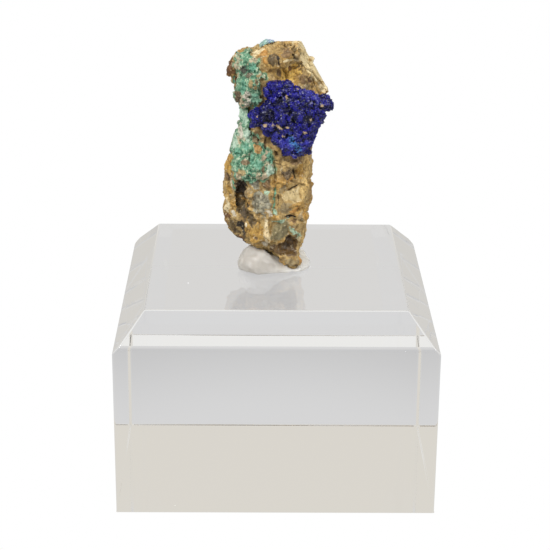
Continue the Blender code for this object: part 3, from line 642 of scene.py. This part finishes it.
def rock_finish():
    finish = Finish("vein_rock")
    grain = finish.noise(2600.0, 5.0, roughness=0.65)
    speck = finish.noise(7000.0, 3.0, roughness=0.6)
    broad = finish.noise(420.0, 4.0, roughness=0.6)
    fibres = finish.noise(1.0, 4.0, finish.stretch((4200.0, 4200.0, 900.0), (0.0, 0.35, 0.0)))
    tone = finish.step(0.5 * grain + 0.3 * speck + 0.35 * fibres - 0.08, 0.34, 0.66)
    dark, light, _ = MINERALS["tan"]
    colour = finish.mix(tone, dark, light)
    stain = finish.step(broad, 0.50, 0.60)
    colour = colour.toward(stain * 0.75, finish.mix(tone, *MINERALS["ochre"][:2]))
    deep_stain = finish.step(finish.noise(650.0, 4.0, roughness=0.65), 0.56, 0.64)
    colour = colour.toward(deep_stain * 0.7, finish.mix(tone, *MINERALS["umber"][:2]))
    roughness = 0.8
    edge_noise = 1.6 * (grain - 0.5) + 1.2 * (finish.noise(1100.0, 3.0) - 0.5)
    for name, (dark, light, surface_roughness) in MINERALS.items():
        stray = 0.4 if name in CALM_MINERALS else 1.2
        zone = finish.step(finish.field(name) + stray * edge_noise, 0.0, 0.22)
        colour = colour.toward(zone, finish.mix(tone, dark, light))
        roughness = roughness + zone * (surface_roughness - roughness)
    # painted shade: the hollows of the rock are darkened toward brown
    shade = finish.step(finish.field("hollow"), 0.0, 1.0)
    colour = colour.toward(shade * 0.65, HOLLOW_SHADE_BROWN)
    # raised edges and knobs are lightened: wear and painted highlight
    wear_and_highlight = finish.step(finish.field("edge"), 0.0, 1.0)
    colour = colour.toward(wear_and_highlight * 0.5, WEAR_AND_HIGHLIGHT, "MULTIPLY")
    halo = finish.step(finish.field("halo") + 0.4 * edge_noise, 0.45, 0.85)
    colour = colour.toward(halo * 0.85, finish.mix(tone, *MINERALS["green"][:2]))
    fleck = finish.noise(3600.0, 2.0)
    colour = colour.toward(finish.step(fleck, 0.60, 0.68) * 0.6, DARK_FLECK)
    colour = colour.toward(finish.step(fleck, 0.38, 0.31) * 0.5, PALE_FLECK)
    crack = finish.step(finish.cells(640.0, "DISTANCE_TO_EDGE"), 0.035, 0.005)
    crack = crack * finish.step(broad, 0.45, 0.40) * finish.step(finish.field("quartz"), 0.0, -0.3)
    colour = colour.toward(crack * 0.65, CRACK_BROWN)
    colour = colour.toward(1.0, DUSTY_WARMTH, "MULTIPLY")
    relief = finish.bump(grain + 0.4 * speck - 0.6 * crack, 0.00007, 0.8)
    return finish.close(finish.principled({
        "Base Color": colour, "Roughness": roughness, "IOR": 1.48, "Normal": relief,
    }))


rock = fine_copy("rock_matrix", "vein_rock", ROCK_VOXEL)
skin = Skin(rock)
skin.points = skin.soften(skin.points, 8)
base = skin.points - (0.0, 0.0, BLOCK_TOP)
fields, rise, calm = lay_forms(skin, base, ROCK_FORMS, MINERALS, ROCK_STRAY, CALM_FORMS)
chipped = skin.soften(sum(skin.chips(size, CHIP_TILT, seed) for size, seed in CHIP_SEEDS.items()), 1)
rough = GRAIN_DEPTH * skin.cloud(GRAIN_SIZE, 2.0, 5)
skin.push((chipped + rough) * (1.0 - 0.8 * calm) - GRAIN_DEPTH)
skin.push(CORNER_RISE * np.clip(inside(base, *TOP_CORNER), 0.0, 0.5))
for face in ROCK_BREAKS:
    skin.cleave(*face)
for ledge in ROCK_STEPS:
    skin.undercut(*ledge)
skin.push(rise)
height = skin.stands_out(12)
# how deep each point lies in a hollow, for the painted shade
skin.store("hollow", np.clip(-height / HOLLOW_DEPTH - 0.15, 0.0, 1.0))
# how far each point stands out, for the wear and painted highlight on raised edges
skin.store("edge", np.clip(height / EDGE_HEIGHT - 0.25, 0.0, 1.0))
for name, field in fields.items():
    skin.store(name, field)
skin.finish("rock_matrix")
dress(rock, rock_finish())
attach(rock, "root")
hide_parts("rock_matrix")

# ------------------------------------------------------------
# Azurite cluster. Hundreds of small flat crystals of deep blue copper
# carbonate, grown out of the rock in rounded tufts that touch and overlap.

AZURITE_VOXEL = 0.12
# tufts, large and small, and the crystals on them: how far apart, how high, how much they tilt
# and what share of their length is sunk
TUFT_GAPS = (1.05, 0.48)
TUFT_RISES = (0.15, 0.12)
CRYSTAL_GAP = 0.12
CRYSTAL_SIZES = (0.13, 0.30)
CRYSTAL_LEAN = 0.45
CRYSTAL_SINK = 0.58
CRYSTAL_FLAT = (0.85, 0.40, 1.0)
ROOF_LIFT = (0.06, 0.03, 0.3)
ROOF_TAPER = (0.55, 0.30, 1.0)
CREASE_DEPTH = 0.09
DEEP_BLUE = (0.002, 0.002, 0.026)
BRIGHT_BLUE = (0.021, 0.018, 0.38)
LIT_BLUE = (0.10, 0.11, 0.56)
AZURE_BLUE = (0.05, 0.22, 0.48)
SHADE_BLUE = (0.003, 0.003, 0.016)
# painted shade colour for the creases between tufts
CREASE_SHADE_BLUE = (0.002, 0.002, 0.010)
EARTH_SPECKS = ((0.28, 0.16, 0.06), (0.86, 0.68, 0.42))

# the lobe that climbs highest up the rock: middle, half sizes and turn
AZURITE_LOBE = ((-0.2, -3.4, 20.6), (1.1, 1.1), 0.0)
LOBE_RISE = 0.62

# where the rock shows above the crystals: middle, half sizes of its reach, the way the edge faces
AZURITE_EDGES = (
    ((3.05, -3.4, 19.10), (2.7, 2.5, 2.4), (0.449, 0.0, 0.894)),
    ((-1.9, -3.5, 17.50), (1.7, 2.5, 1.5), (-0.588, 0.0, 0.81)),
    ((4.15, -3.5, 15.9), (2.0, 3.0, 2.6), (0.914, 0.0, -0.405)),
)

# place: kind, middle in mm above the block's top, half sizes, turn
AZURITE_PLACES = {
    "azure_patch": ("azure", (1.75, -4.6, 14.3), (0.36, 1.25), 32),
    "speck_a": ("earth", (0.9, -4.0, 19.0), (0.13, 0.28), 0),
    "speck_b": ("earth", (-1.2, -4.1, 16.1), (0.22, 0.15), 0),
    "speck_c": ("earth", (-0.4, -3.9, 16.2), (0.18, 0.15), 0),
    "speck_d": ("earth", (0.2, -4.2, 16.0), (0.37, 0.17), -35),
    "speck_e": ("earth", (1.0, -4.3, 16.0), (0.22, 0.13), 0),
    "speck_f": ("earth", (0.6, -4.2, 15.2), (0.18, 0.24), 0),
    "orange_speck": ("earth", (2.7, -4.4, 15.5), (0.24, 0.17), -10),
    "speck_g": ("earth", (4.4, -3.9, 18.0), (0.18, 0.17), 0),
    "speck_h": ("earth", (-2.0, -3.8, 17.0), (0.08, 0.13), 0),
    "orange_speck_b": ("earth", (3.3, -4.2, 16.8), (0.14, 0.17), 0),
    "speck_i": ("earth", (-0.4, -3.3, 20.3), (0.12, 0.11), 0),
    "speck_j": ("earth", (2.0, -4.0, 19.8), (0.18, 0.15), 0),
    "low_lobe": ("light", (0.7, -4.3, 14.6), (2.3, 1.1), -12),
    "shoulder_glow": ("light", (3.2, -4.2, 19.0), (1.3, 0.5), -30),
    "hollow_left": ("dark", (-1.0, -3.9, 17.2), (0.95, 0.75), 30),
    "hollow_centre": ("dark", (0.2, -4.1, 18.6), (0.51, 0.54), 0),
    "hollow_mid": ("dark", (0.9, -4.8, 17.8), (0.41, 0.33), 0),
    "hollow_right": ("dark", (2.9, -4.5, 17.0), (0.56, 0.46), 0),
    "hollow_notch": ("dark", (1.7, -4.8, 17.1), (0.41, 0.48), 0),
    "hollow_low": ("dark", (-1.1, -2.9, 14.2), (0.41, 0.44), 0),
}


def crystal_shape():
    """One flat six-sided crystal with a slanted roof, 1 mm long, its root at the origin."""
    bpy.ops.object.select_all(action="DESELECT")
    bpy.ops.mesh.primitive_cylinder_add(vertices=6, radius=0.5, depth=0.7, location=(0.0, 0.0, 0.35))
    crystal = bpy.context.object
    bpy.ops.object.mode_set(mode="EDIT")
    bpy.ops.mesh.select_all(action="SELECT")
    bpy.ops.transform.resize(value=CRYSTAL_FLAT)
    bpy.ops.mesh.select_all(action="DESELECT")
    roof = bmesh.from_edit_mesh(crystal.data)
    for face in roof.faces:
        face.select_set(face.normal.z > 0.9)
    bpy.ops.mesh.extrude_region_move(TRANSFORM_OT_translate={"value": ROOF_LIFT})
    bpy.ops.transform.resize(value=ROOF_TAPER)
    bpy.ops.object.mode_set(mode="OBJECT")
    bpy.ops.object.transform_apply(location=True, rotation=True, scale=True)
    corners = np.array([v.co for v in crystal.data.vertices])
    sides = [tuple(p.vertices) for p in crystal.data.polygons]
    bpy.data.objects.remove(crystal)
    return corners, sides


def spread_sites(points, gap, draw):
    """Picks points that stay at least gap apart."""
    taken, chosen = {}, []
    for index in draw.permutation(len(points)):
        cell = tuple((points[index] // gap).astype(int))
        near = (
            other
            for dx in (-1, 0, 1) for dy in (-1, 0, 1) for dz in (-1, 0, 1)
            for other in taken.get((cell[0] + dx, cell[1] + dy, cell[2] + dz), ())
        )
        if all(np.linalg.norm(points[index] - points[other]) >= gap for other in near):
            taken.setdefault(cell, []).append(index)
            chosen.append(index)
    return chosen


def grow_crystals(body, shape, gap, sizes, lean, sink, seed):
    """Stands crystals on a body and joins them to it; returns each point's root on the body and its tint."""
    corners, sides = shape
    draw = np.random.default_rng(seed)
    normals = body.normals()
    chosen = spread_sites(body.points, gap, draw)
    points = [body.points]
    faces = [tuple(p.vertices) for p in body.piece.data.polygons]
    roots = [np.arange(body.count)]
    tints = [np.zeros(body.count)]
    start = body.count
    for index in chosen:
        size = sizes[0] + (sizes[1] - sizes[0]) * draw.random() ** 1.8
        up = normals[index] + lean * draw.normal(0.0, 0.6, 3)
        up /= np.linalg.norm(up)
        side = np.cross(up, draw.normal(0.0, 1.0, 3))
        side /= np.linalg.norm(side)
        turn = np.stack([side, np.cross(up, side), up])
        width = size * draw.uniform(0.8, 1.3)
        grown = (corners * (width, width, size)) @ turn + body.points[index] - sink * size * up
        points.append(grown)
        faces += [tuple(start + corner for corner in face) for face in sides]
        roots.append(np.full(len(corners), index))
        tints.append(np.full(len(corners), draw.uniform(-1.0, 1.0)))
        start += len(corners)
    mesh = bpy.data.meshes.new(body.piece.name)
    mesh.from_pydata(np.concatenate(points).tolist(), [], faces)
    body.piece.data = mesh
    joined = Skin(body.piece)
    return joined, np.concatenate(roots), np.concatenate(tints)


def tuft_shape(body, gap, seed):
    """Rounded tufts, one to a site: 1 at the top of a tuft, 0 or less in the creases between them."""
    sites = body.points[spread_sites(body.points, gap, np.random.default_rng(seed))]
    tree = tree_of(sites)
    strayed = body.points + body.wobble(0.35 * gap, 0.8 * gap, seed)
    away = np.array([tree.find(p)[2] for p in strayed])
    return 1.0 - (away / (0.72 * gap)) ** 2


def azurite_finish(name, deep, bright, pale):
    finish = Finish(name)
    tint = finish.field("tint")
    cloud = finish.noise(900.0, 3.0)
    glint = finish.noise(5200.0, 3.0, roughness=0.7)
    tone = finish.step(0.45 * cloud + 0.35 * glint + 0.14 * tint + 0.1, 0.36, 0.70)
    colour = finish.mix(tone, deep, bright)
    lit = finish.step(finish.field("light") + 1.6 * (cloud - 0.5), -0.1, 0.6)
    colour = colour.toward(lit * 0.6, finish.mix(tone, bright, LIT_BLUE))
    azure = finish.step(finish.field("azure") + 3.4 * (glint - 0.5) + 2.4 * (cloud - 0.5), 0.0, 0.5)
    colour = colour.toward(azure * 0.8, pale)
    shade = finish.step(finish.field("dark") + 0.5 * (cloud - 0.5), -0.2, 0.5)
    colour = colour.toward(shade * 0.8, SHADE_BLUE)
    # painted shade: the creases between the tufts are darkened almost to black
    crease_shade = finish.step(finish.field("crease_shade"), 0.35, 1.0)
    colour = colour.toward(crease_shade * 0.95, CREASE_SHADE_BLUE)
    earth = finish.step(finish.field("earth") + 2.2 * (glint - 0.5), 0.0, 0.2)
    colour = colour.toward(earth, finish.mix(glint, *EARTH_SPECKS))
    relief = finish.bump(glint, 0.00003, 0.5)
    return finish.close(finish.principled({
        "Base Color": colour, "Roughness": 0.16 + earth * 0.5, "IOR": 1.52, "Normal": relief,
    }))


crystal = crystal_shape()
azurite = fine_copy("azurite_cluster", "azurite_tufts", AZURITE_VOXEL)
skin = Skin(azurite)
skin.points = skin.soften(skin.points, 6)
skin.push(LOBE_RISE * dome(inside(skin.points - (0.0, 0.0, BLOCK_TOP), *AZURITE_LOBE)))
for face in AZURITE_EDGES:
    skin.cleave(*face)
for gap, tuft_rise in zip(TUFT_GAPS, TUFT_RISES):
    skin.push(tuft_rise * tuft_shape(skin, gap, 12) - 0.01)
depth = -skin.stands_out(14)
body = skin
skin, roots, tints = grow_crystals(
    body, crystal, CRYSTAL_GAP, CRYSTAL_SIZES, CRYSTAL_LEAN, CRYSTAL_SINK, 21,
)
# how deep each crystal's root lies in a crease, for the painted shade
skin.store("crease_shade", np.clip(0.45 + depth[roots] / CREASE_DEPTH, 0.0, 1.5))
middles = body.points[roots] - (0.0, 0.0, BLOCK_TOP)
for kind in ("azure", "light", "dark", "earth"):
    places = skin.points - (0.0, 0.0, BLOCK_TOP) if kind == "earth" else middles
    reach = np.full(skin.count, -3.0)
    for place_kind, middle, halves, turn in AZURITE_PLACES.values():
        if place_kind == kind:
            reach = np.maximum(reach, inside(places, middle, halves, turn))
    skin.store(kind, reach)
skin.store("tint", tints)
skin.finish("azurite_cluster")
dress(azurite, azurite_finish("azurite", DEEP_BLUE, BRIGHT_BLUE, AZURE_BLUE))
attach(azurite, "root")
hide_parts("azurite_cluster")

# ------------------------------------------------------------
# Top spot. A small patch of paler, blue-green copper minerals on the top left
# edge of the rock, with a few blue crystals in it.

SPOT_VOXEL = 0.05
SPOT_GAP = 0.11
SPOT_SIZES = (0.08, 0.17)
SPOT_LEAN, SPOT_SINK = 0.4, 0.6
SPOT_COLOURS = ((0.26, 0.46, 0.40), (0.66, 0.77, 0.66), (0.035, 0.045, 0.36))

# the flat faces that it is pressed to: middle, half sizes of its reach, the way it faces
SPOT_FACES = (
    ((-1.0, -0.4, 23.85), (3.0, 3.0, 3.0), (0.0, 0.0, 1.0)),
    ((-1.45, -0.4, 23.70), (3.0, 3.0, 3.0), (-0.6, 0.0, 0.8)),
)

spot = fine_copy("azurite_top_spot", "blue_green_patch", SPOT_VOXEL)
skin = Skin(spot)
skin.points = skin.soften(skin.points, 24)
skin.push(0.03 * skin.cloud(0.25, 5.0) + 0.02)
for face in SPOT_FACES:
    skin.cleave(*face)
skin, roots, tints = grow_crystals(skin, crystal, SPOT_GAP, SPOT_SIZES, SPOT_LEAN, SPOT_SINK, 8)
for kind, level in (("azure", 0.1), ("light", -3.0), ("dark", -3.0), ("earth", -3.0), ("crease_shade", 0.0)):
    skin.store(kind, np.full(skin.count, level))
skin.store("tint", tints)
skin.finish("azurite_top_spot")
dress(spot, azurite_finish("pale_azurite", *SPOT_COLOURS))
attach(spot, "root")
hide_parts("azurite_top_spot")

# ------------------------------------------------------------
# Malachite crust. A thin velvety skin of green copper carbonate on the left
# flank, in places mint or silky white, with the brown rock showing through.

CRUST_VOXEL = 0.075
# its broken tufts, in two layers: size, tilt and seed
CRUST_CHIPS = ((0.6, 0.2, 3), (0.25, 0.3, 4))
TUFT_SIZE, TUFT_DEPTH = 0.4, 0.05
CRUST_STRAY = (0.10, 0.25)
CRUST_BREAK = ((-4.45, -1.5, 13.7), (2.0, 4.0, 1.5), (-0.97, 0.0, 0.25))
CRUST_GREENS = ((0.016, 0.11, 0.052), (0.27, 0.54, 0.33))
CRUST_PALE = (0.64, 0.70, 0.50)
CRUST_PIT = (0.008, 0.035, 0.024)
# painted shade colour for the crust's hollows
CRUST_HOLLOW_SHADE = (0.010, 0.045, 0.028)
CRUST_DEPTH = 0.08
STAIN_FADE = 1.8

# form: mineral, middle, half sizes, turn and rise, as in the rock
CRUST_FORMS = {
    "needles": ("black_and_shade", (-3.2, -2.9, 21.4), (0.63, 0.41), 25, 0),
    "needle_foot": ("smoky", (-2.8, -3.2, 21.0), (0.46, 0.33), 30, 0),
    "crest_green": ("green", (-2.5, -3.4, 21.8), (0.51, 0.44), 20, 0.05),
    "brown_spot": ("umber", (-2.1, -3.4, 20.3), (0.20, 0.35), 0, -0.1),
    "brown_hook": ("iron", (-1.7, -3.0, 19.5), (0.45, 0.26), -40, -0.1),
    "hook_rim": ("tan", (-2.2, -3.6, 19.8), (0.24, 0.35), 0, 0),
    "tan_spot": ("tan", (-2.6, -3.8, 20.2), (0.24, 0.49), 10, 0),
    "tan_dot": ("tan", (-1.9, -3.4, 20.9), (0.22, 0.17), 0, 0),
    "grey_silk": ("silk", (-3.0, -2.8, 18.8), (0.43, 0.71), 20, 0.05),
    "silk_shadow": ("black_and_shade", (-2.7, -2.8, 18.7), (0.14, 0.13), 0, -0.1),
    "mid_green": ("green", (-2.1, -2.9, 18.4), (0.46, 0.76), 10, 0.05),
    "streak_green": ("green", (-3.4, -3.0, 19.6), (0.22, 1.31), -8, 0),
    "grey_streak": ("silk", (-3.0, -2.5, 17.9), (0.46, 0.20), -35, 0),
    "mint_waist": ("mint", (-3.5, -1.0, 16.4), (0.75, 0.90), 0, 0.05),
    "pale_column": ("silk", (-3.7, -1.5, 15.0), (0.43, 0.87), 10, 0.06),
    "column_shadow": ("smoke", (-4.0, -1.4, 14.9), (0.14, 0.65), 5, -0.05),
    "mint_left": ("mint", (-4.2, -1.8, 14.0), (0.39, 1.09), -10, 0.05),
    "mint_middle": ("mint", (-3.0, -2.5, 14.7), (0.35, 0.87), 10, 0.05),
    "deep_green": ("green", (-3.1, -3.0, 13.6), (0.43, 0.28), 10, -0.05),
    "brown_patch": ("umber", (-2.1, -2.6, 14.4), (0.47, 0.71), 0, -0.08),
    "rust_patch": ("rust", (-1.9, -3.3, 13.4), (0.47, 0.46), 0, 0.05),
    "dark_pit": ("black_and_shade", (-2.8, -3.4, 12.4), (0.16, 0.37), 0, -0.2),
    "olive_spot": ("umber", (-3.1, -3.8, 12.1), (0.43, 0.28), 0, 0.05),
    "pit_green": ("green", (-2.5, -3.4, 12.3), (0.24, 0.65), 0, 0),
    "foot_green": ("green", (-1.8, -3.5, 11.9), (0.51, 0.54), 0, 0.05),
    "foot_fleck": ("umber", (-1.4, -3.7, 11.4), (0.24, 0.44), 0, 0),
    "right_green": ("green", (-0.7, -3.3, 12.5), (0.35, 0.65), 0, 0.05),
    "mint_block": ("mint", (-0.7, -3.4, 11.3), (0.45, 0.74), 0, 0.15),
    "left_green": ("green", (-3.9, -2.7, 13.0), (0.33, 0.54), 0, 0),
    "strip_over": ("iron", (-3.9, -1.6, 18.4), (0.40, 0.90), -6, 0),
    "tan_low": ("tan", (-3.5, -3.2, 11.1), (0.60, 0.42), 15, 0.05),
    "tan_mid": ("beige", (-1.2, -3.6, 12.6), (0.30, 0.42), 20, 0),
}
CRUST_MINERALS = list(dict.fromkeys(form[0] for form in CRUST_FORMS.values()))


def malachite_finish():
    finish = Finish("malachite_crust")
    grain = finish.noise(3400.0, 5.0, roughness=0.7)
    tuft = finish.noise(1500.0, 4.0, roughness=0.65, distortion=0.8)
    broad = finish.noise(560.0, 4.0, roughness=0.6)
    along = finish.stretch((5600.0, 5600.0, 1400.0), (0.0, 0.5, 0.0))
    fibres = finish.noise(1.0, 4.0, along, distortion=0.6)
    tone = finish.step(0.35 * grain + 0.35 * tuft + 0.35 * fibres, 0.40, 0.64)
    colour = finish.mix(tone, *CRUST_GREENS)
    pale = finish.step(0.6 * fibres + 0.4 * tuft, 0.51, 0.60)
    colour = colour.toward(pale * 0.85, CRUST_PALE)
    brown = finish.step(broad + 0.5 * (grain - 0.5), 0.54, 0.61)
    colour = colour.toward(brown * 0.85, finish.mix(tone, *MINERALS["beige"][:2]))
    pit = finish.step(0.6 * tuft + 0.4 * grain, 0.42, 0.36)
    colour = colour.toward(pit * 0.7, CRUST_PIT)
    roughness = 0.7
    edge_noise = 1.3 * (grain - 0.5) + 1.2 * (tuft - 0.5)
    for name in CRUST_MINERALS:
        dark, light, surface_roughness = MINERALS[name]
        zone = finish.step(finish.field(name) + edge_noise, 0.0, 0.25)
        colour = colour.toward(zone * 0.9, finish.mix(tone, dark, light))
        roughness = roughness + zone * (surface_roughness - roughness)
    # painted shade: the hollows of the crust are darkened
    shade = finish.step(finish.field("hollow"), 0.0, 1.0)
    colour = colour.toward(shade * 0.45, CRUST_HOLLOW_SHADE)
    relief = finish.bump(grain + 0.6 * fibres, 0.00012, 1.0)
    return finish.close(finish.principled({
        "Base Color": colour, "Roughness": roughness, "IOR": 1.6, "Normal": relief,
    }))


crust = fine_copy("malachite_crust", "malachite_velvet", CRUST_VOXEL)
skin = Skin(crust)
skin.points = skin.soften(skin.points, 4)
base = skin.points - (0.0, 0.0, BLOCK_TOP)
fields, rise, _ = lay_forms(skin, base, CRUST_FORMS, CRUST_MINERALS, CRUST_STRAY)
rough = TUFT_DEPTH * skin.cloud(TUFT_SIZE, 1.0, 5)
skin.push(rise + rough + skin.soften(sum(skin.chips(*layer) for layer in CRUST_CHIPS), 1))
skin.cleave(*CRUST_BREAK)
# how deep each point lies in a hollow, for the painted shade
skin.store("hollow", np.clip(-skin.stands_out(10) / CRUST_DEPTH - 0.15, 0.0, 1.0))
for name, field in fields.items():
    skin.store(name, field)
crust_tree = tree_of(skin.points * MM)
stain = Skin(rock)
distances = np.array([crust_tree.find(point)[2] for point in stain.points])
stain.store("halo", 1.0 - np.minimum(2.0, STAIN_FADE / MM * distances))
skin.finish("malachite_crust")
dress(crust, malachite_finish())
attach(crust, "root")
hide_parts("malachite_crust")

# ------------------------------------------------------------
# Studio. A pale floor, soft light from above and both sides, and a camera
# that looks a little down on the piece from the front.

FLOOR_DROP = 0.05 * MM
# what the floor shows through the acrylic: a painted pool of light, brighter near the block and greyer
# further off
FLOOR_NEAR = (0.67, 0.67, 0.675)
FLOOR_FAR = (0.53, 0.53, 0.535)
FLOOR_FADE = (18.0 * MM, 50.0 * MM)
# how much light the floor and the walls give off on to the piece
FLOOR_SOFT = (0.42, 0.42, 0.42)
WALL_SOFT = (0.50, 0.50, 0.52)
SKY_LOW = (0.70, 0.67, 0.61)
SKY_HIGH = (0.85, 0.85, 0.84)
LIGHT_TARGET = (0.0, 0.0, 0.03)
BOX_SIDE = 0.20
CAMERA_PLACE = (-0.001794, -0.1639, 0.0817)
CAMERA_PITCH, CAMERA_YAW, CAMERA_ROLL = (math.radians(angle) for angle in (20.815, 0.605, 0.462))
CAMERA_LENS = 109.74

bpy.ops.object.select_all(action="DESELECT")
bpy.ops.mesh.primitive_plane_add(size=4.0, location=(0.0, 0.0, -FLOOR_DROP))
floor = bpy.context.object
floor.name = "studio_floor"
finish = Finish("pale_floor")
seen = finish.add("ShaderNodeLightPath", output="Is Camera Ray")
soft = finish.add("ShaderNodeLightPath", output="Is Diffuse Ray")
away = finish.add("ShaderNodeVectorMath", {"operation": "LENGTH"}, {0: finish.place()}, 1)
# painted pool of light: the floor glows brighter within reach of the block
level = finish.mix(finish.step(away, *FLOOR_FADE), FLOOR_NEAR, FLOOR_FAR)
level = finish.mix(seen, finish.mix(soft, level, FLOOR_SOFT), WHITE)
dress(floor, finish.close(finish.add("ShaderNodeEmission", {}, {"Color": level, "Strength": 1.0})))

world = bpy.data.worlds.new("soft_studio")
bpy.context.scene.world = world
world.use_nodes = True
finish = Finish(tree=world.node_tree)
seen = finish.add("ShaderNodeLightPath", output="Is Camera Ray")
soft = finish.add("ShaderNodeLightPath", output="Is Diffuse Ray")
height = finish.add("ShaderNodeSeparateXYZ", {}, {0: finish.add("ShaderNodeTexCoord", output="Generated")}, 2)
wall = finish.mix(finish.step(height, 0.50, 0.85), SKY_LOW, SKY_HIGH)
level = finish.mix(seen, finish.mix(soft, wall, WALL_SOFT), WHITE)
sky = finish.add("ShaderNodeBackground", {}, {"Color": level, "Strength": 1.0})
finish.add("ShaderNodeOutputWorld", {}, {"Surface": sky}, None)


def softbox(name, place, power):
    """A square soft light, turned to the piece and not seen through the acrylic."""
    light = bpy.data.lights.new(name, "AREA")
    light.shape = "RECTANGLE"
    light.size = light.size_y = BOX_SIDE
    light.energy = power
    lamp = bpy.data.objects.new(name, light)
    bpy.context.scene.collection.objects.link(lamp)
    lamp.location = place
    lamp.visible_transmission = False
    lamp.rotation_euler = (Vector(LIGHT_TARGET) - Vector(place)).to_track_quat("-Z", "Y").to_euler()


softbox("key_light", (-0.22, -0.26, 0.34), 1.6)
softbox("fill_light", (0.30, -0.18, 0.20), 0.6)

camera_data = bpy.data.cameras.new("view_camera")
camera_data.sensor_width = 36.0
camera_data.lens = CAMERA_LENS
camera_data.clip_start = 0.001
camera = bpy.data.objects.new("view_camera", camera_data)
bpy.context.scene.collection.objects.link(camera)
ahead = Vector((
    math.sin(CAMERA_YAW) * math.cos(CAMERA_PITCH),
    math.cos(CAMERA_YAW) * math.cos(CAMERA_PITCH),
    -math.sin(CAMERA_PITCH),
))
level_right = ahead.cross(Vector((0.0, 0.0, 1.0))).normalized()
level_up = level_right.cross(ahead)
right = math.cos(CAMERA_ROLL) * level_right + math.sin(CAMERA_ROLL) * level_up
up = math.cos(CAMERA_ROLL) * level_up - math.sin(CAMERA_ROLL) * level_right
camera.matrix_world = Matrix.Translation(CAMERA_PLACE) @ Matrix((right, up, -ahead)).transposed().to_4x4()
bpy.context.scene.camera = camera
bpy.context.scene.view_settings.view_transform = "Standard"
light_paths = bpy.context.scene.cycles
light_paths.max_bounces = light_paths.transmission_bounces = light_paths.glossy_bounces = 96

bpy.context.view_layer.update()
